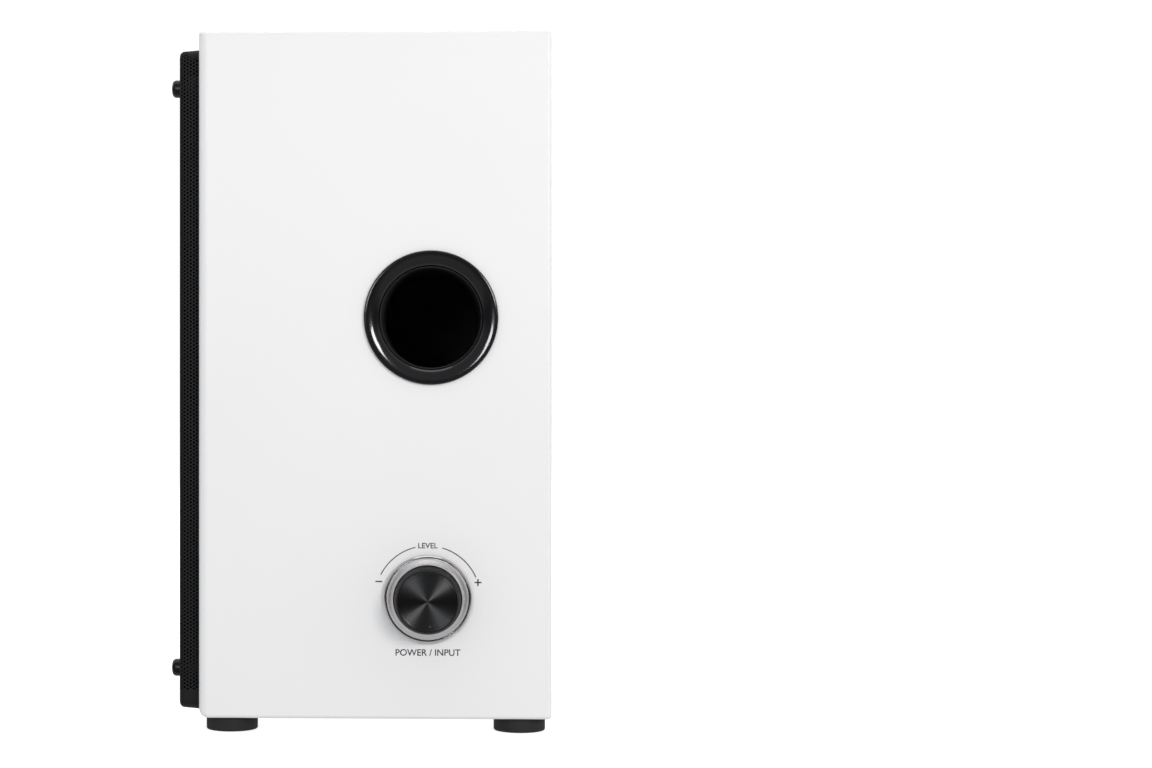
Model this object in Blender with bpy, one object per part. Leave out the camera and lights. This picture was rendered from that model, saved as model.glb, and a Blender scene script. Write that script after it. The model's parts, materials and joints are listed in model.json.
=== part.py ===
"""A powered two-way bookshelf speaker, taken apart into its separate pieces.

Units are metres and +Z is up.  The grille faces -Y and the side that carries the bass port and the
volume knob faces +X.  The origin is the bottom centre of the whole speaker's box, under its feet.

Pieces that sit on a face of the cabinet are placed in that face's own frame (an empty), where x runs
across the face to the right, y runs up from the surface the speaker stands on, and z points out.
"""

import math

import bmesh
import bpy
from mathutils import Vector

MM = 0.001

# Driving dimensions, in millimetres.
CABINET_WIDTH = 170.0
CABINET_DEPTH = 144.0
CABINET_HEIGHT = 280.0
PANEL = 12.0  # board thickness
SEAM = 0.1  # gap between neighbouring boards
FRONT_ROUND = 4.0  # radius of the front face's side and bottom edges
SMALL_ROUND = 1.5  # radius of the other outer edges
TOP_FRONT_ROUND = 0.8  # the front face's top edge is nearly square

FOOT_HEIGHT = 6.0
FOOT_RADIUS = 10.6
FOOT_FROM_END = 12.7  # foot centre to the front or rear face
FOOT_FROM_SIDE = 14.0

GRILLE_DEPTH = 8.5
GRILLE_WIDTH = 158.0
GRILLE_BOTTOM = FOOT_HEIGHT + 2.5
GRILLE_TOP = FOOT_HEIGHT + CABINET_HEIGHT - 6.1
GRILLE_SHEET = 0.8
GRILLE_SCREW_INSET = 14.0  # from the grille's sides
GRILLE_SCREW_LOW = 24.2
GRILLE_SCREW_HIGH = 265.2
GRILLE_HEAD_RADIUS = 3.65
GRILLE_HEAD_HEIGHT = 4.6

PORT_ACROSS = 23.0  # behind the cabinet's mid-depth
PORT_UP = 169.35
PORT_RADIUS = 27.3
PORT_THROAT = 20.6
PORT_NECK = 23.7  # outer radius of the flare inside its hole
PORT_INNER_END = -105.0  # the tube's end, measured from the cabinet's side

KNOB_ACROSS = 21.7
KNOB_UP = 55.1
KNOB_OUT = 15.0  # how far the knob stands out
SKIRT_RADIUS = 17.9
CAP_RADIUS = 13.6
FACE_RADIUS = 12.2  # the cap tapers to its end face
KNOB_HOLE = 11.0

WOOFER_UP = 92.0
WOOFER_RADIUS = 62.0
TWEETER_UP = 215.0
TWEETER_RADIUS = 40.0

REAR_RECESS = 12.2  # the rear board stands this far inside, so the connectors stay within the cabinet
PLATE_WIDTH = 120.0
PLATE_BOTTOM = 22.0
PLATE_HEIGHT = 116.0
PLATE_THICKNESS = 2.0
PLATE_GAP = 0.2
PLATE_FRONT = PLATE_GAP + PLATE_THICKNESS
JACK_OUT = 9.8  # how far the round input jacks stand out of the plate
SWITCH_AT = (-30.0, 44.0)
INLET_AT = (20.0, 44.0)
TERMINALS_AT = (-26.0, 96.0)
JACKS_AT = (30.0, 96.0)
JACK_PITCH = 18.0
ROCKER_TILT = 9.0  # degrees either side of level
LEVER_PITCH = 14.0
LEVER_PIVOT = (10.0, 6.0)  # up from the block's centre, out from the plate

SEGMENTS = 24  # facets round a full turn
FINE = 36  # facets round the larger or more visible turned pieces
COARSE = 10  # facets round screws and small holes
DOME_STEPS = 5

# The origin is the middle of the whole box: from the cabinet's blank side to the knob's end, and
# from the grille screws' heads to the cabinet's rear edges.
SHIFT_X = -KNOB_OUT / 2.0
SHIFT_Y = (GRILLE_DEPTH + GRILLE_HEAD_HEIGHT) / 2.0
CABINET_MID = FOOT_HEIGHT + CABINET_HEIGHT / 2.0

# Turns from a face's own frame (x across, y up, z out) to the speaker's frame.
FACING_FRONT = (math.pi / 2.0, 0.0, 0.0)
FACING_LEFT = (math.pi / 2.0, 0.0, math.pi / 2.0)
FACING_REAR = (math.pi / 2.0, 0.0, math.pi)

FINISHES = {
    "white_wrap": ((0.86, 0.86, 0.87), 0.45, 0.0),
    "black_board": ((0.02, 0.02, 0.02), 0.7, 0.0),
    "powder_coat": ((0.025, 0.025, 0.028), 0.5, 0.2),
    "black_screw": ((0.02, 0.02, 0.02), 0.35, 0.6),
    "rubber": ((0.03, 0.03, 0.03), 0.8, 0.0),
    "gloss_black": ((0.008, 0.008, 0.009), 0.08, 0.0),
    "matte_black": ((0.02, 0.02, 0.02), 0.55, 0.0),
    "chrome": ((0.75, 0.73, 0.74), 0.15, 1.0),
    "spun_black": ((0.03, 0.03, 0.03), 0.3, 0.9),
    "steel": ((0.55, 0.55, 0.56), 0.35, 1.0),
    "brass": ((0.8, 0.62, 0.28), 0.3, 1.0),
    "ferrite": ((0.05, 0.05, 0.055), 0.7, 0.0),
    "paper": ((0.035, 0.035, 0.035), 0.85, 0.0),
    "silk": ((0.03, 0.03, 0.035), 0.6, 0.0),
    "spider_cloth": ((0.75, 0.55, 0.25), 0.9, 0.0),
    "copper": ((0.72, 0.36, 0.18), 0.35, 1.0),
    "circuit_board": ((0.02, 0.16, 0.06), 0.5, 0.0),
    "red_plastic": ((0.55, 0.02, 0.02), 0.4, 0.0),
    "white_plastic": ((0.8, 0.8, 0.8), 0.4, 0.0),
    "wire_red": ((0.5, 0.03, 0.03), 0.5, 0.0),
}


# ---------------------------------------------------------------- helpers


def scaled(*values):
    """Millimetres to a vector in metres."""
    return Vector(values) * MM


def finish_named(name):
    """The material of that finish, made the first time it is asked for."""
    found = bpy.data.materials.get(name)
    if found:
        return found
    colour, roughness, metallic = FINISHES[name]
    made = bpy.data.materials.new(name)
    made.use_nodes = True
    shader = made.node_tree.nodes["Principled BSDF"]
    shader.inputs["Base Color"].default_value = (*colour, 1.0)
    shader.inputs["Roughness"].default_value = roughness
    shader.inputs["Metallic"].default_value = metallic
    return made


def add_frame(name, at, turn=(0.0, 0.0, 0.0), parent=None):
    """An empty that other pieces hang on."""
    empty = bpy.data.objects.new(name, None)
    empty.empty_display_size = 0.02
    empty.location = scaled(*at)
    empty.rotation_euler = turn
    empty.parent = parent
    bpy.context.scene.collection.objects.link(empty)
    return empty


def add_piece(name, bm, finish, parent, at=(0.0, 0.0, 0.0), turn=(0.0, 0.0, 0.0)):
    """A bmesh in millimetres made into an object in metres."""
    bmesh.ops.scale(bm, vec=(MM, MM, MM), verts=bm.verts)
    bmesh.ops.recalc_face_normals(bm, faces=bm.faces)
    mesh = bpy.data.meshes.new(name)
    bm.to_mesh(mesh)
    bm.free()
    mesh.shade_smooth()
    mesh.set_sharp_from_angle(angle=math.radians(32.0))
    mesh.materials.append(finish_named(finish))
    piece = bpy.data.objects.new(name, mesh)
    piece.location = scaled(*at)
    piece.rotation_euler = turn
    piece.parent = parent
    bpy.context.scene.collection.objects.link(piece)
    return piece


def box_mesh(low, high, bevel=0.0, segments=2):
    """A box between two corners, with all its edges rounded if bevel is given."""
    bm = bmesh.new()
    bmesh.ops.create_cube(bm, size=1.0)
    size = Vector(high) - Vector(low)
    bmesh.ops.scale(bm, vec=size, verts=bm.verts)
    bmesh.ops.translate(bm, vec=Vector(low) + size / 2.0, verts=bm.verts)
    if bevel:
        bmesh.ops.bevel(bm, geom=bm.edges[:], offset=bevel, segments=segments, profile=0.5,
                        affect="EDGES")
    return bm


def prism_mesh(outline, low, high):
    """An outline of (x, y) points extruded along z from low to high."""
    bm = bmesh.new()
    face = bm.faces.new([bm.verts.new((x, y, low)) for x, y in outline])
    grown = bmesh.ops.extrude_face_region(bm, geom=[face])["geom"]
    moved = [v for v in grown if isinstance(v, bmesh.types.BMVert)]
    bmesh.ops.translate(bm, vec=(0.0, 0.0, high - low), verts=moved)
    return bm


def turned_mesh(outline, segments=SEGMENTS):
    """A turned solid about z: (radius, z) points, closed, or open with both ends on the axis."""
    bm = bmesh.new()
    verts = [bm.verts.new((radius, 0.0, height)) for radius, height in outline]
    edges = [bm.edges.new(pair) for pair in zip(verts, verts[1:])]
    if outline[0][0] > 0.0:
        edges.append(bm.edges.new((verts[-1], verts[0])))
    bmesh.ops.spin(bm, geom=verts + edges, cent=(0.0, 0.0, 0.0), axis=(0.0, 0.0, 1.0),
                   angle=2.0 * math.pi, steps=segments, use_merge=True)
    bmesh.ops.remove_doubles(bm, verts=bm.verts, dist=0.0005)
    return bm


def rod(name, radius, low, high, finish, parent, at=(0.0, 0.0, 0.0), segments=SEGMENTS):
    """A plain round bar along z."""
    bm = bmesh.new()
    bmesh.ops.create_cone(bm, cap_ends=True, segments=segments, radius1=radius, radius2=radius,
                          depth=high - low)
    bmesh.ops.translate(bm, vec=(0.0, 0.0, (low + high) / 2.0), verts=bm.verts)
    return add_piece(name, bm, finish, parent, at)


def arc_points(centre, radius, first, last, count):
    """Points on an arc, angles in degrees."""
    angles = [first + (last - first) * i / count for i in range(count + 1)]
    return [(centre[0] + radius * math.cos(math.radians(a)),
             centre[1] + radius * math.sin(math.radians(a))) for a in angles]


def combine(piece, other, operation="DIFFERENCE"):
    """Cut, join or trim a piece with another object, which then is only a guide."""
    modifier = piece.modifiers.new(other.name, "BOOLEAN")
    modifier.operation = operation
    modifier.solver = "EXACT"
    modifier.object = other
    other.hide_render = True
    other.display_type = "WIRE"
    return piece


def drill(piece, radius, low, high, parent, at, segments=SEGMENTS):
    """Cut a round hole through a piece."""
    name = f"{piece.name}_drill_{len(piece.modifiers)}"
    return combine(piece, rod(name, radius, low, high, "steel", parent, at, segments))


def window(piece, low, high, parent, bevel=0.0):
    """Cut a rectangular window through a piece."""
    name = f"{piece.name}_window_{len(piece.modifiers)}"
    return combine(piece, add_piece(name, box_mesh(low, high, bevel), "steel", parent))


def join_box(piece, low, high, parent):
    """Add a block to a piece."""
    name = f"{piece.name}_block_{len(piece.modifiers)}"
    return combine(piece, add_piece(name, box_mesh(low, high), "steel", parent), "UNION")


def join_rod(piece, radius, low, high, parent, at, segments=24):
    """Add a round boss to a piece."""
    name = f"{piece.name}_boss_{len(piece.modifiers)}"
    return combine(piece, rod(name, radius, low, high, "steel", parent, at, segments), "UNION")


def corners(left, up):
    """The four corners of a rectangle, named by the speaker's own left (its knob side) and right."""
    return [(f"{row}_{side}", x, y)
            for row, y in (("upper", up), ("lower", -up))
            for side, x in (("left", left), ("right", -left))]


# ---------------------------------------------------------------- cabinet


def make_blank(root):
    """The cabinet's outer shape: three of the front face's edges are rounded more than the others."""
    half = (CABINET_WIDTH / 2.0, CABINET_DEPTH / 2.0, CABINET_HEIGHT / 2.0)
    bm = box_mesh([-v for v in half], half)
    weight = bm.edges.layers.float.new("bevel_weight_edge")
    for edge in bm.edges:
        in_front = all(v.co.y < 0.0 for v in edge.verts)
        on_top = all(v.co.z > 0.0 for v in edge.verts)
        radius = SMALL_ROUND
        if in_front:
            radius = TOP_FRONT_ROUND if on_top else FRONT_ROUND
        edge[weight] = radius / FRONT_ROUND
    blank = add_piece("cabinet_blank", bm, "white_wrap", root, (0.0, 0.0, CABINET_MID))
    bevel = blank.modifiers.new("round", "BEVEL")
    bevel.limit_method = "WEIGHT"
    bevel.width = FRONT_ROUND * MM
    bevel.segments = 4
    return blank


def make_cabinet(root, blank, front, left, rear):
    """Six boards, each trimmed to the cabinet's outer shape."""
    spare = 5.0
    out_x = CABINET_WIDTH / 2.0 + spare
    out_y = CABINET_DEPTH / 2.0 + spare
    top = FOOT_HEIGHT + CABINET_HEIGHT
    in_x = CABINET_WIDTH / 2.0 - PANEL
    in_y = CABINET_DEPTH / 2.0 - PANEL
    low_z = FOOT_HEIGHT + PANEL
    high_z = top - PANEL
    boards = {
        "cabinet_top_panel": ((-out_x, -out_y, high_z), (out_x, out_y, top + spare)),
        "cabinet_bottom_panel": ((-out_x, -out_y, FOOT_HEIGHT - spare), (out_x, out_y, low_z)),
        "cabinet_left_panel": ((in_x, -out_y, low_z + SEAM), (out_x, out_y, high_z - SEAM)),
        "cabinet_right_panel": ((-out_x, -out_y, low_z + SEAM), (-in_x, out_y, high_z - SEAM)),
    }
    made = {}
    for name, (low, high) in boards.items():
        made[name] = combine(add_piece(name, box_mesh(low, high), "white_wrap", root), blank,
                             "INTERSECT")
    drill(made["cabinet_left_panel"], PORT_NECK + 0.4, -20.0, 5.0, left, (PORT_ACROSS, PORT_UP, 0.0))
    drill(made["cabinet_left_panel"], KNOB_HOLE, -20.0, 5.0, left, (KNOB_ACROSS, KNOB_UP, 0.0))
    side = in_x - SEAM
    make_baffle(root, front, (side, in_y, low_z + SEAM, high_z - SEAM))
    make_rear_panel(root, rear, (side, in_y - REAR_RECESS, low_z + SEAM, high_z - SEAM))


def make_baffle(root, front, limits):
    """The front board: rebated openings for both drivers and four bosses for the grille's screws."""
    side, in_y, low_z, high_z = limits
    outer = CABINET_DEPTH / 2.0
    baffle = add_piece("front_baffle", box_mesh((-side, -outer, low_z), (side, -in_y, high_z)),
                       "black_board", root)
    boss_out = GRILLE_DEPTH - GRILLE_SHEET - 0.2
    for _, x, y in grille_screw_places():
        join_rod(baffle, 5.0, -4.0, boss_out, front, (x, y, 0.0), 16)
    for _, x, y in grille_screw_places():
        drill(baffle, 2.2, -20.0, boss_out + 2.0, front, (x, y, 0.0), COARSE)
    drill(baffle, WOOFER_RADIUS + 0.4, -3.6, 5.0, front, (0.0, WOOFER_UP, 0.0), FINE)
    drill(baffle, 54.5, -20.0, 5.0, front, (0.0, WOOFER_UP, 0.0), FINE)
    drill(baffle, TWEETER_RADIUS + 0.4, -3.1, 5.0, front, (0.0, TWEETER_UP, 0.0))
    drill(baffle, 31.0, -20.0, 5.0, front, (0.0, TWEETER_UP, 0.0))
    for _, x, y in woofer_screw_places():
        drill(baffle, 1.9, -20.0, 0.0, front, (x, y, 0.0), COARSE)
    for _, x, y in tweeter_screw_places():
        drill(baffle, 1.7, -20.0, 0.0, front, (x, y, 0.0), COARSE)


def make_rear_panel(root, rear, limits):
    """The rear board, with the amplifier's opening."""
    side, in_y, low_z, high_z = limits
    outer = in_y + PANEL
    panel = add_piece("rear_panel", box_mesh((-side, in_y, low_z), (side, outer, high_z)),
                      "white_wrap", root)
    edge = 8.0
    half = PLATE_WIDTH / 2.0 - edge
    window(panel, (-half, PLATE_BOTTOM + edge, -20.0), (half, PLATE_BOTTOM + PLATE_HEIGHT - edge, 5.0),
           rear)
    for _, x, y in plate_screw_places():
        drill(panel, 1.7, -20.0, 5.0, rear, (x, y, 0.0), COARSE)


def make_feet(root):
    """Four rubber feet with a softened lower edge."""
    across = CABINET_WIDTH / 2.0 - FOOT_FROM_SIDE
    along = CABINET_DEPTH / 2.0 - FOOT_FROM_END
    soft = 0.8
    outline = [(0.0, 0.0), (FOOT_RADIUS - soft, 0.0), (FOOT_RADIUS - 0.2, soft - 0.4),
               (FOOT_RADIUS, soft + 0.2), (FOOT_RADIUS, FOOT_HEIGHT - 0.2), (0.0, FOOT_HEIGHT - 0.2)]
    for row, y in (("front", -along), ("rear", along)):
        for side, x in (("right", -across), ("left", across)):
            add_piece(f"foot_{row}_{side}", turned_mesh(outline), "rubber", root, (x, y, 0.0))


# ---------------------------------------------------------------- grille


def grille_screw_places():
    middle = (GRILLE_SCREW_HIGH + GRILLE_SCREW_LOW) / 2.0
    up = (GRILLE_SCREW_HIGH - GRILLE_SCREW_LOW) / 2.0
    across = GRILLE_WIDTH / 2.0 - GRILLE_SCREW_INSET
    return [(place, x, middle + y) for place, x, y in corners(across, up)]


def make_grille(front):
    """A shallow steel tray, open at the back, held by a screw at each corner."""
    half = GRILLE_WIDTH / 2.0
    corner = 4.0
    draft = 0.7  # the tray's sides lean in by this much towards its front
    back = 0.2
    tray = add_piece("grille_tray", tray_mesh(half, corner, draft, back, GRILLE_DEPTH),
                     "powder_coat", front)
    hollow = tray_mesh(half - GRILLE_SHEET, corner - GRILLE_SHEET, draft, back - 4.0,
                       GRILLE_DEPTH - GRILLE_SHEET)
    combine(tray, add_piece("grille_hollow", hollow, "powder_coat", front))
    for _, x, y in grille_screw_places():
        drill(tray, 2.3, -5.0, GRILLE_DEPTH + 5.0, front, (x, y, 0.0), COARSE)
    for place, x, y in grille_screw_places():
        make_round_screw(f"grille_screw_{place}", front, (x, y, GRILLE_DEPTH + 0.05))


def tray_mesh(half, corner, draft, low, high):
    """A flat block with rounded corners whose front edge is softened."""
    centre = (GRILLE_TOP + GRILLE_BOTTOM) / 2.0
    tall = (GRILLE_TOP - GRILLE_BOTTOM) / 2.0 - (GRILLE_WIDTH / 2.0 - half)
    outline = []
    for x, y, first in ((1, 1, 0), (-1, 1, 90), (-1, -1, 180), (1, -1, 270)):
        middle = (x * (half - corner), centre + y * (tall - corner))
        outline += arc_points(middle, corner, first, first + 90, 4)
    bm = prism_mesh(outline, low, high)
    soft = 1.2
    rim = [e for e in bm.edges if all(v.co.z > high - 0.01 for v in e.verts)]
    bmesh.ops.bevel(bm, geom=rim, offset=soft, segments=2, profile=0.5, affect="EDGES")
    for vert in bm.verts:
        if vert.co.z > high - soft - 0.01:
            vert.co.x *= (half - draft) / half
            vert.co.y = centre + (vert.co.y - centre) * (tall - draft) / tall
    return bm


def make_round_screw(name, front, at):
    """A machine screw with a tall, well rounded head; its underside is at z = 0."""
    soft = 1.6
    centre = (GRILLE_HEAD_RADIUS - soft, GRILLE_HEAD_HEIGHT - 0.2 - soft)
    outline = [(0.0, -16.0), (1.9, -16.0), (1.9, 0.0), (GRILLE_HEAD_RADIUS, 0.0)]
    outline += arc_points(centre, soft, 0, 90, 3)
    outline += [(0.0, GRILLE_HEAD_HEIGHT)]
    screw = add_piece(name, turned_mesh(outline, 16), "black_screw", front, at)
    socket = rod(f"{name}_socket", 1.4, GRILLE_HEAD_HEIGHT - 1.8, GRILLE_HEAD_HEIGHT + 1.0, "steel",
                 front, at, 6)
    return combine(screw, socket)


def make_pan_screw(name, parent, at, head_radius=3.2, shank_radius=1.6, length=10.0):
    """A small wood screw with a low head; its underside is at z = 0."""
    outline = [(0.0, -length), (shank_radius, 2.5 - length), (shank_radius, 0.0),
               (head_radius, 0.0), (head_radius, 0.7), (head_radius * 0.7, 1.8), (0.0, 1.8)]
    return add_piece(name, turned_mesh(outline, COARSE), "black_screw", parent, at)


# ---------------------------------------------------------------- woofer


def woofer_screw_places():
    middle = (WOOFER_RADIUS - 3.6) / math.sqrt(2.0)
    return [(place, x, WOOFER_UP + y) for place, x, y in corners(middle, middle)]


def make_woofer(front):
    """The bass driver, from its basket back to its magnet, and its moving cone."""
    seat = add_frame("woofer_seat", (0.0, WOOFER_UP, 0.0), parent=front)
    make_basket(seat, front)
    make_woofer_motor(seat)
    travel = add_frame("woofer_travel", (0.0, 0.0, 0.0), parent=seat)
    add_piece("woofer_voice_coil", turned_mesh([(12.3, -40.0), (13.2, -40.0), (13.2, -18.6),
                                                (12.3, -18.6)]), "copper", travel)
    cone = [(13.5, -21.0), (14.4, -21.4), (24.0, -13.9), (45.6, -1.0), (45.2, -0.3), (24.0, -13.0)]
    add_piece("woofer_cone", turned_mesh(cone, FINE), "paper", travel)
    add_piece("woofer_dust_cap", turned_mesh(dome_outline(16.0, 6.0, 0.7, -18.0)), "paper", travel)
    roll = [(44.2, 0.0), (44.2, 0.6)] + arc_points((49.6, 0.6), 4.5, 180, 0, 6)
    roll += [(55.1, 0.6), (55.1, 0.0)] + arc_points((49.6, 0.0), 4.0, 0, 180, 6)
    add_piece("woofer_surround", turned_mesh(roll, FINE), "rubber", seat)
    add_piece("woofer_spider", turned_mesh(spider_outline(), 24), "spider_cloth", seat)
    for place, x, y in woofer_screw_places():
        make_pan_screw(f"woofer_screw_{place}", front, (x, y, -0.1), 2.9, 1.5)


def dome_outline(radius, rise, skin, base):
    """A thin dome open at its back: rise is its height over its rim."""
    sphere = (radius * radius + rise * rise) / (2.0 * rise)
    half = math.degrees(math.asin(radius / sphere))
    centre = (0.0, base + rise - sphere)
    outer = arc_points(centre, sphere, 90.0 - half, 90.0, DOME_STEPS)
    inner = arc_points(centre, sphere - skin, 90.0, 90.0 - half, DOME_STEPS)
    outer[-1] = (0.0, outer[-1][1])
    inner[0] = (0.0, inner[0][1])
    return inner[0:1] + inner[1:] + outer


def spider_outline():
    """Rings of waves between the voice coil and the basket's ledge."""
    inner, outer, level, skin, waves, height = 13.6, 35.4, -25.4, 0.6, 3, 1.4
    count = waves * 4
    top = []
    for i in range(count + 1):
        share = i / count
        swell = height * math.sin(math.pi * share)
        wave = swell * math.sin(2.0 * math.pi * waves * share)
        top.append((inner + (outer - inner) * share, level + wave))
    return top + [(r, z - skin) for r, z in reversed(top)]


def make_basket(seat, front):
    """The pressed steel frame: a flange, a windowed cone wall, a ledge and a floor."""
    outline = [(52.0, -3.3), (52.0, -0.3), (WOOFER_RADIUS, -0.3), (WOOFER_RADIUS, -3.3),
               (53.6, -3.3), (46.6, -28.2), (38.5, -28.2), (38.5, -31.5), (15.0, -31.5),
               (15.0, -30.0), (36.8, -30.0), (36.8, -28.0), (33.5, -28.0), (33.5, -26.6),
               (45.2, -26.6)]
    basket = add_piece("woofer_basket", turned_mesh(outline, FINE), "powder_coat", seat)
    window(basket, (-22.0, -60.0, -21.0), (22.0, 60.0, -8.0), seat)
    window(basket, (-60.0, -22.0, -21.0), (60.0, 22.0, -8.0), seat)
    for _, x, y in woofer_screw_places():
        drill(basket, 2.0, -8.0, 3.0, front, (x, y, 0.0), COARSE)


def make_woofer_motor(seat):
    """Front plate, ring magnet, and the back plate with its pole."""
    plate = [(13.6, -36.8), (36.0, -36.8), (36.0, -31.8), (13.6, -31.8)]
    add_piece("woofer_front_plate", turned_mesh(plate), "steel", seat)
    magnet = [(20.0, -52.1), (40.0, -52.1), (40.0, -37.1), (20.0, -37.1)]
    add_piece("woofer_magnet", turned_mesh(magnet), "ferrite", seat)
    pole = [(0.0, -57.4), (37.0, -57.4), (38.0, -56.4), (38.0, -52.4), (11.9, -52.4),
            (11.9, -31.8), (0.0, -31.8)]
    add_piece("woofer_pole_piece", turned_mesh(pole), "steel", seat)


# ---------------------------------------------------------------- tweeter


def tweeter_screw_places():
    across = TWEETER_RADIUS - 5.0
    return [("left", across, TWEETER_UP), ("right", -across, TWEETER_UP)]


def make_tweeter(front):
    """The treble driver: a flared faceplate, a soft dome with its coil, and its motor."""
    seat = add_frame("tweeter_seat", (0.0, TWEETER_UP, 0.0), parent=front)
    face = [(15.2, -2.9), (15.2, -2.2), (17.5, -1.4), (21.0, -0.6), (26.0, -0.2),
            (TWEETER_RADIUS, -0.2), (TWEETER_RADIUS, -2.9)]
    plate = add_piece("tweeter_faceplate", turned_mesh(face), "matte_black", seat)
    for _, x, y in tweeter_screw_places():
        drill(plate, 1.8, -8.0, 3.0, front, (x, y, 0.0), COARSE)
    motor = [(0.0, -24.0), (30.0, -24.0), (30.0, -3.3), (13.5, -3.3), (13.5, -14.0), (11.6, -14.0),
             (11.6, -6.5), (0.0, -6.5)]
    add_piece("tweeter_motor", turned_mesh(motor), "ferrite", seat)
    travel = add_frame("tweeter_travel", (0.0, 0.0, 0.0), parent=seat)
    dome = dome_outline(12.8, 4.0, 0.5, -5.0)
    inner = dome[:DOME_STEPS]
    outer = dome[DOME_STEPS + 1:]
    coil = [(12.2, -5.2), (12.2, -11.0), (12.8, -11.0)]
    add_piece("tweeter_dome", turned_mesh(inner + coil + outer), "silk", travel)
    for place, x, y in tweeter_screw_places():
        make_pan_screw(f"tweeter_screw_{place}", front, (x, y, -0.1), 2.8, 1.4, 9.0)


# ---------------------------------------------------------------- port


def make_port(left):
    """A glossy flare on the cabinet's side and the tube behind it."""
    seat = add_frame("port_seat", (PORT_ACROSS, PORT_UP, 0.0), parent=left)
    edge, bell_radius, crest = 0.85, 7.6, 1.8
    lip = arc_points((PORT_RADIUS - edge, crest - edge), edge, 0, 60, 2)
    bell = arc_points((PORT_RADIUS - edge, crest - bell_radius), bell_radius, 90, 133, 4)
    outline = [(PORT_NECK, 0.2), (PORT_RADIUS, 0.2)] + lip + bell
    outline += [(PORT_THROAT, -2.0), (PORT_THROAT, -19.0), (PORT_NECK, -19.0)]
    add_piece("port_flare", turned_mesh(outline, 64), "gloss_black", seat)
    tube = [(PORT_THROAT, -19.3), (PORT_THROAT, PORT_INNER_END), (PORT_THROAT + 2.0, PORT_INNER_END),
            (PORT_THROAT + 2.0, -19.3)]
    add_piece("port_tube", turned_mesh(tube), "matte_black", seat)


# ---------------------------------------------------------------- volume knob


def make_knob(left):
    """The push-and-turn volume control, from its bezel in the panel to the spun cap."""
    seat = add_frame("knob_seat", (KNOB_ACROSS, KNOB_UP, 0.0), parent=left)
    bezel = [(3.7, -5.0), (3.7, -3.0), (9.2, -3.0), (9.2, 1.0), (SKIRT_RADIUS - 0.5, 1.0),
             (SKIRT_RADIUS - 0.3, 0.8), (SKIRT_RADIUS - 0.3, 0.2), (KNOB_HOLE - 0.3, 0.2),
             (KNOB_HOLE - 0.3, -5.0)]
    add_piece("knob_bezel", turned_mesh(bezel), "matte_black", seat)
    body = add_piece("encoder_body", box_mesh((-6.25, -6.5, -11.8), (6.25, 6.5, -5.3)), "steel", seat)
    join_rod(body, 3.5, -8.0, 0.2, seat, (0.0, 0.0, 0.0))
    drill(body, 3.1, -20.0, 5.0, seat, (0.0, 0.0, 0.0), 24)
    hexagon = arc_points((0.0, 0.0), 5.6, 0, 300, 5)
    nut = add_piece("encoder_nut", prism_mesh(hexagon, -2.8, -0.8), "brass", seat)
    drill(nut, 3.7, -5.0, 5.0, seat, (0.0, 0.0, 0.0), 24)
    board = add_piece("control_board", box_mesh((-20.0, -17.0, -13.8), (20.0, 17.0, -12.2)),
                      "circuit_board", seat)
    join_box(board, (-18.0, 9.0, -17.0), (-10.0, 15.0, -13.0), seat)
    push = add_frame("knob_push", (0.0, 0.0, 0.0), parent=seat)
    rod("encoder_plunger", 2.9, -11.3, -10.4, "white_plastic", push, segments=24)
    spin = add_frame("volume_turn", (0.0, 0.0, 0.0), parent=push)
    make_turning_knob(spin)


def make_turning_knob(spin):
    """Shaft, cap and knurled skirt, which turn together."""
    rod("encoder_shaft", 3.0, -10.2, KNOB_OUT - 3.4, "steel", spin, segments=24)
    base = 2.2
    top = KNOB_OUT
    cap = [(3.1, base + 0.3), (5.5, base + 0.3), (5.5, top - 2.2), (FACE_RADIUS - 0.6, top - 2.2),
           (CAP_RADIUS - 1.5, base), (CAP_RADIUS, base), (CAP_RADIUS, 9.0), (FACE_RADIUS + 0.3, top - 0.6),
           (FACE_RADIUS, top), (FACE_RADIUS - 0.6, top), (FACE_RADIUS - 0.9, top - 0.2),
           (0.0, top - 0.2)]
    bore = [(0.0, KNOB_OUT - 3.2), (3.1, KNOB_OUT - 3.2)]
    add_piece("knob_cap", turned_mesh(bore + cap), "spun_black", spin)
    skirt = [(CAP_RADIUS + 0.2, 2.0), (SKIRT_RADIUS, 2.0), (SKIRT_RADIUS, 2.7),
             (SKIRT_RADIUS - 0.8, 3.3), (14.1, 5.9), (CAP_RADIUS + 0.2, 5.9)]
    add_piece("knob_skirt", turned_mesh(skirt), "chrome", spin)


# ---------------------------------------------------------------- rear amplifier


def plate_screw_places():
    middle = PLATE_BOTTOM + PLATE_HEIGHT / 2.0
    inset = 4.0
    spots = corners(inset - PLATE_WIDTH / 2.0, PLATE_HEIGHT / 2.0 - inset)
    return [(place, x, middle + y) for place, x, y in spots]


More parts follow.
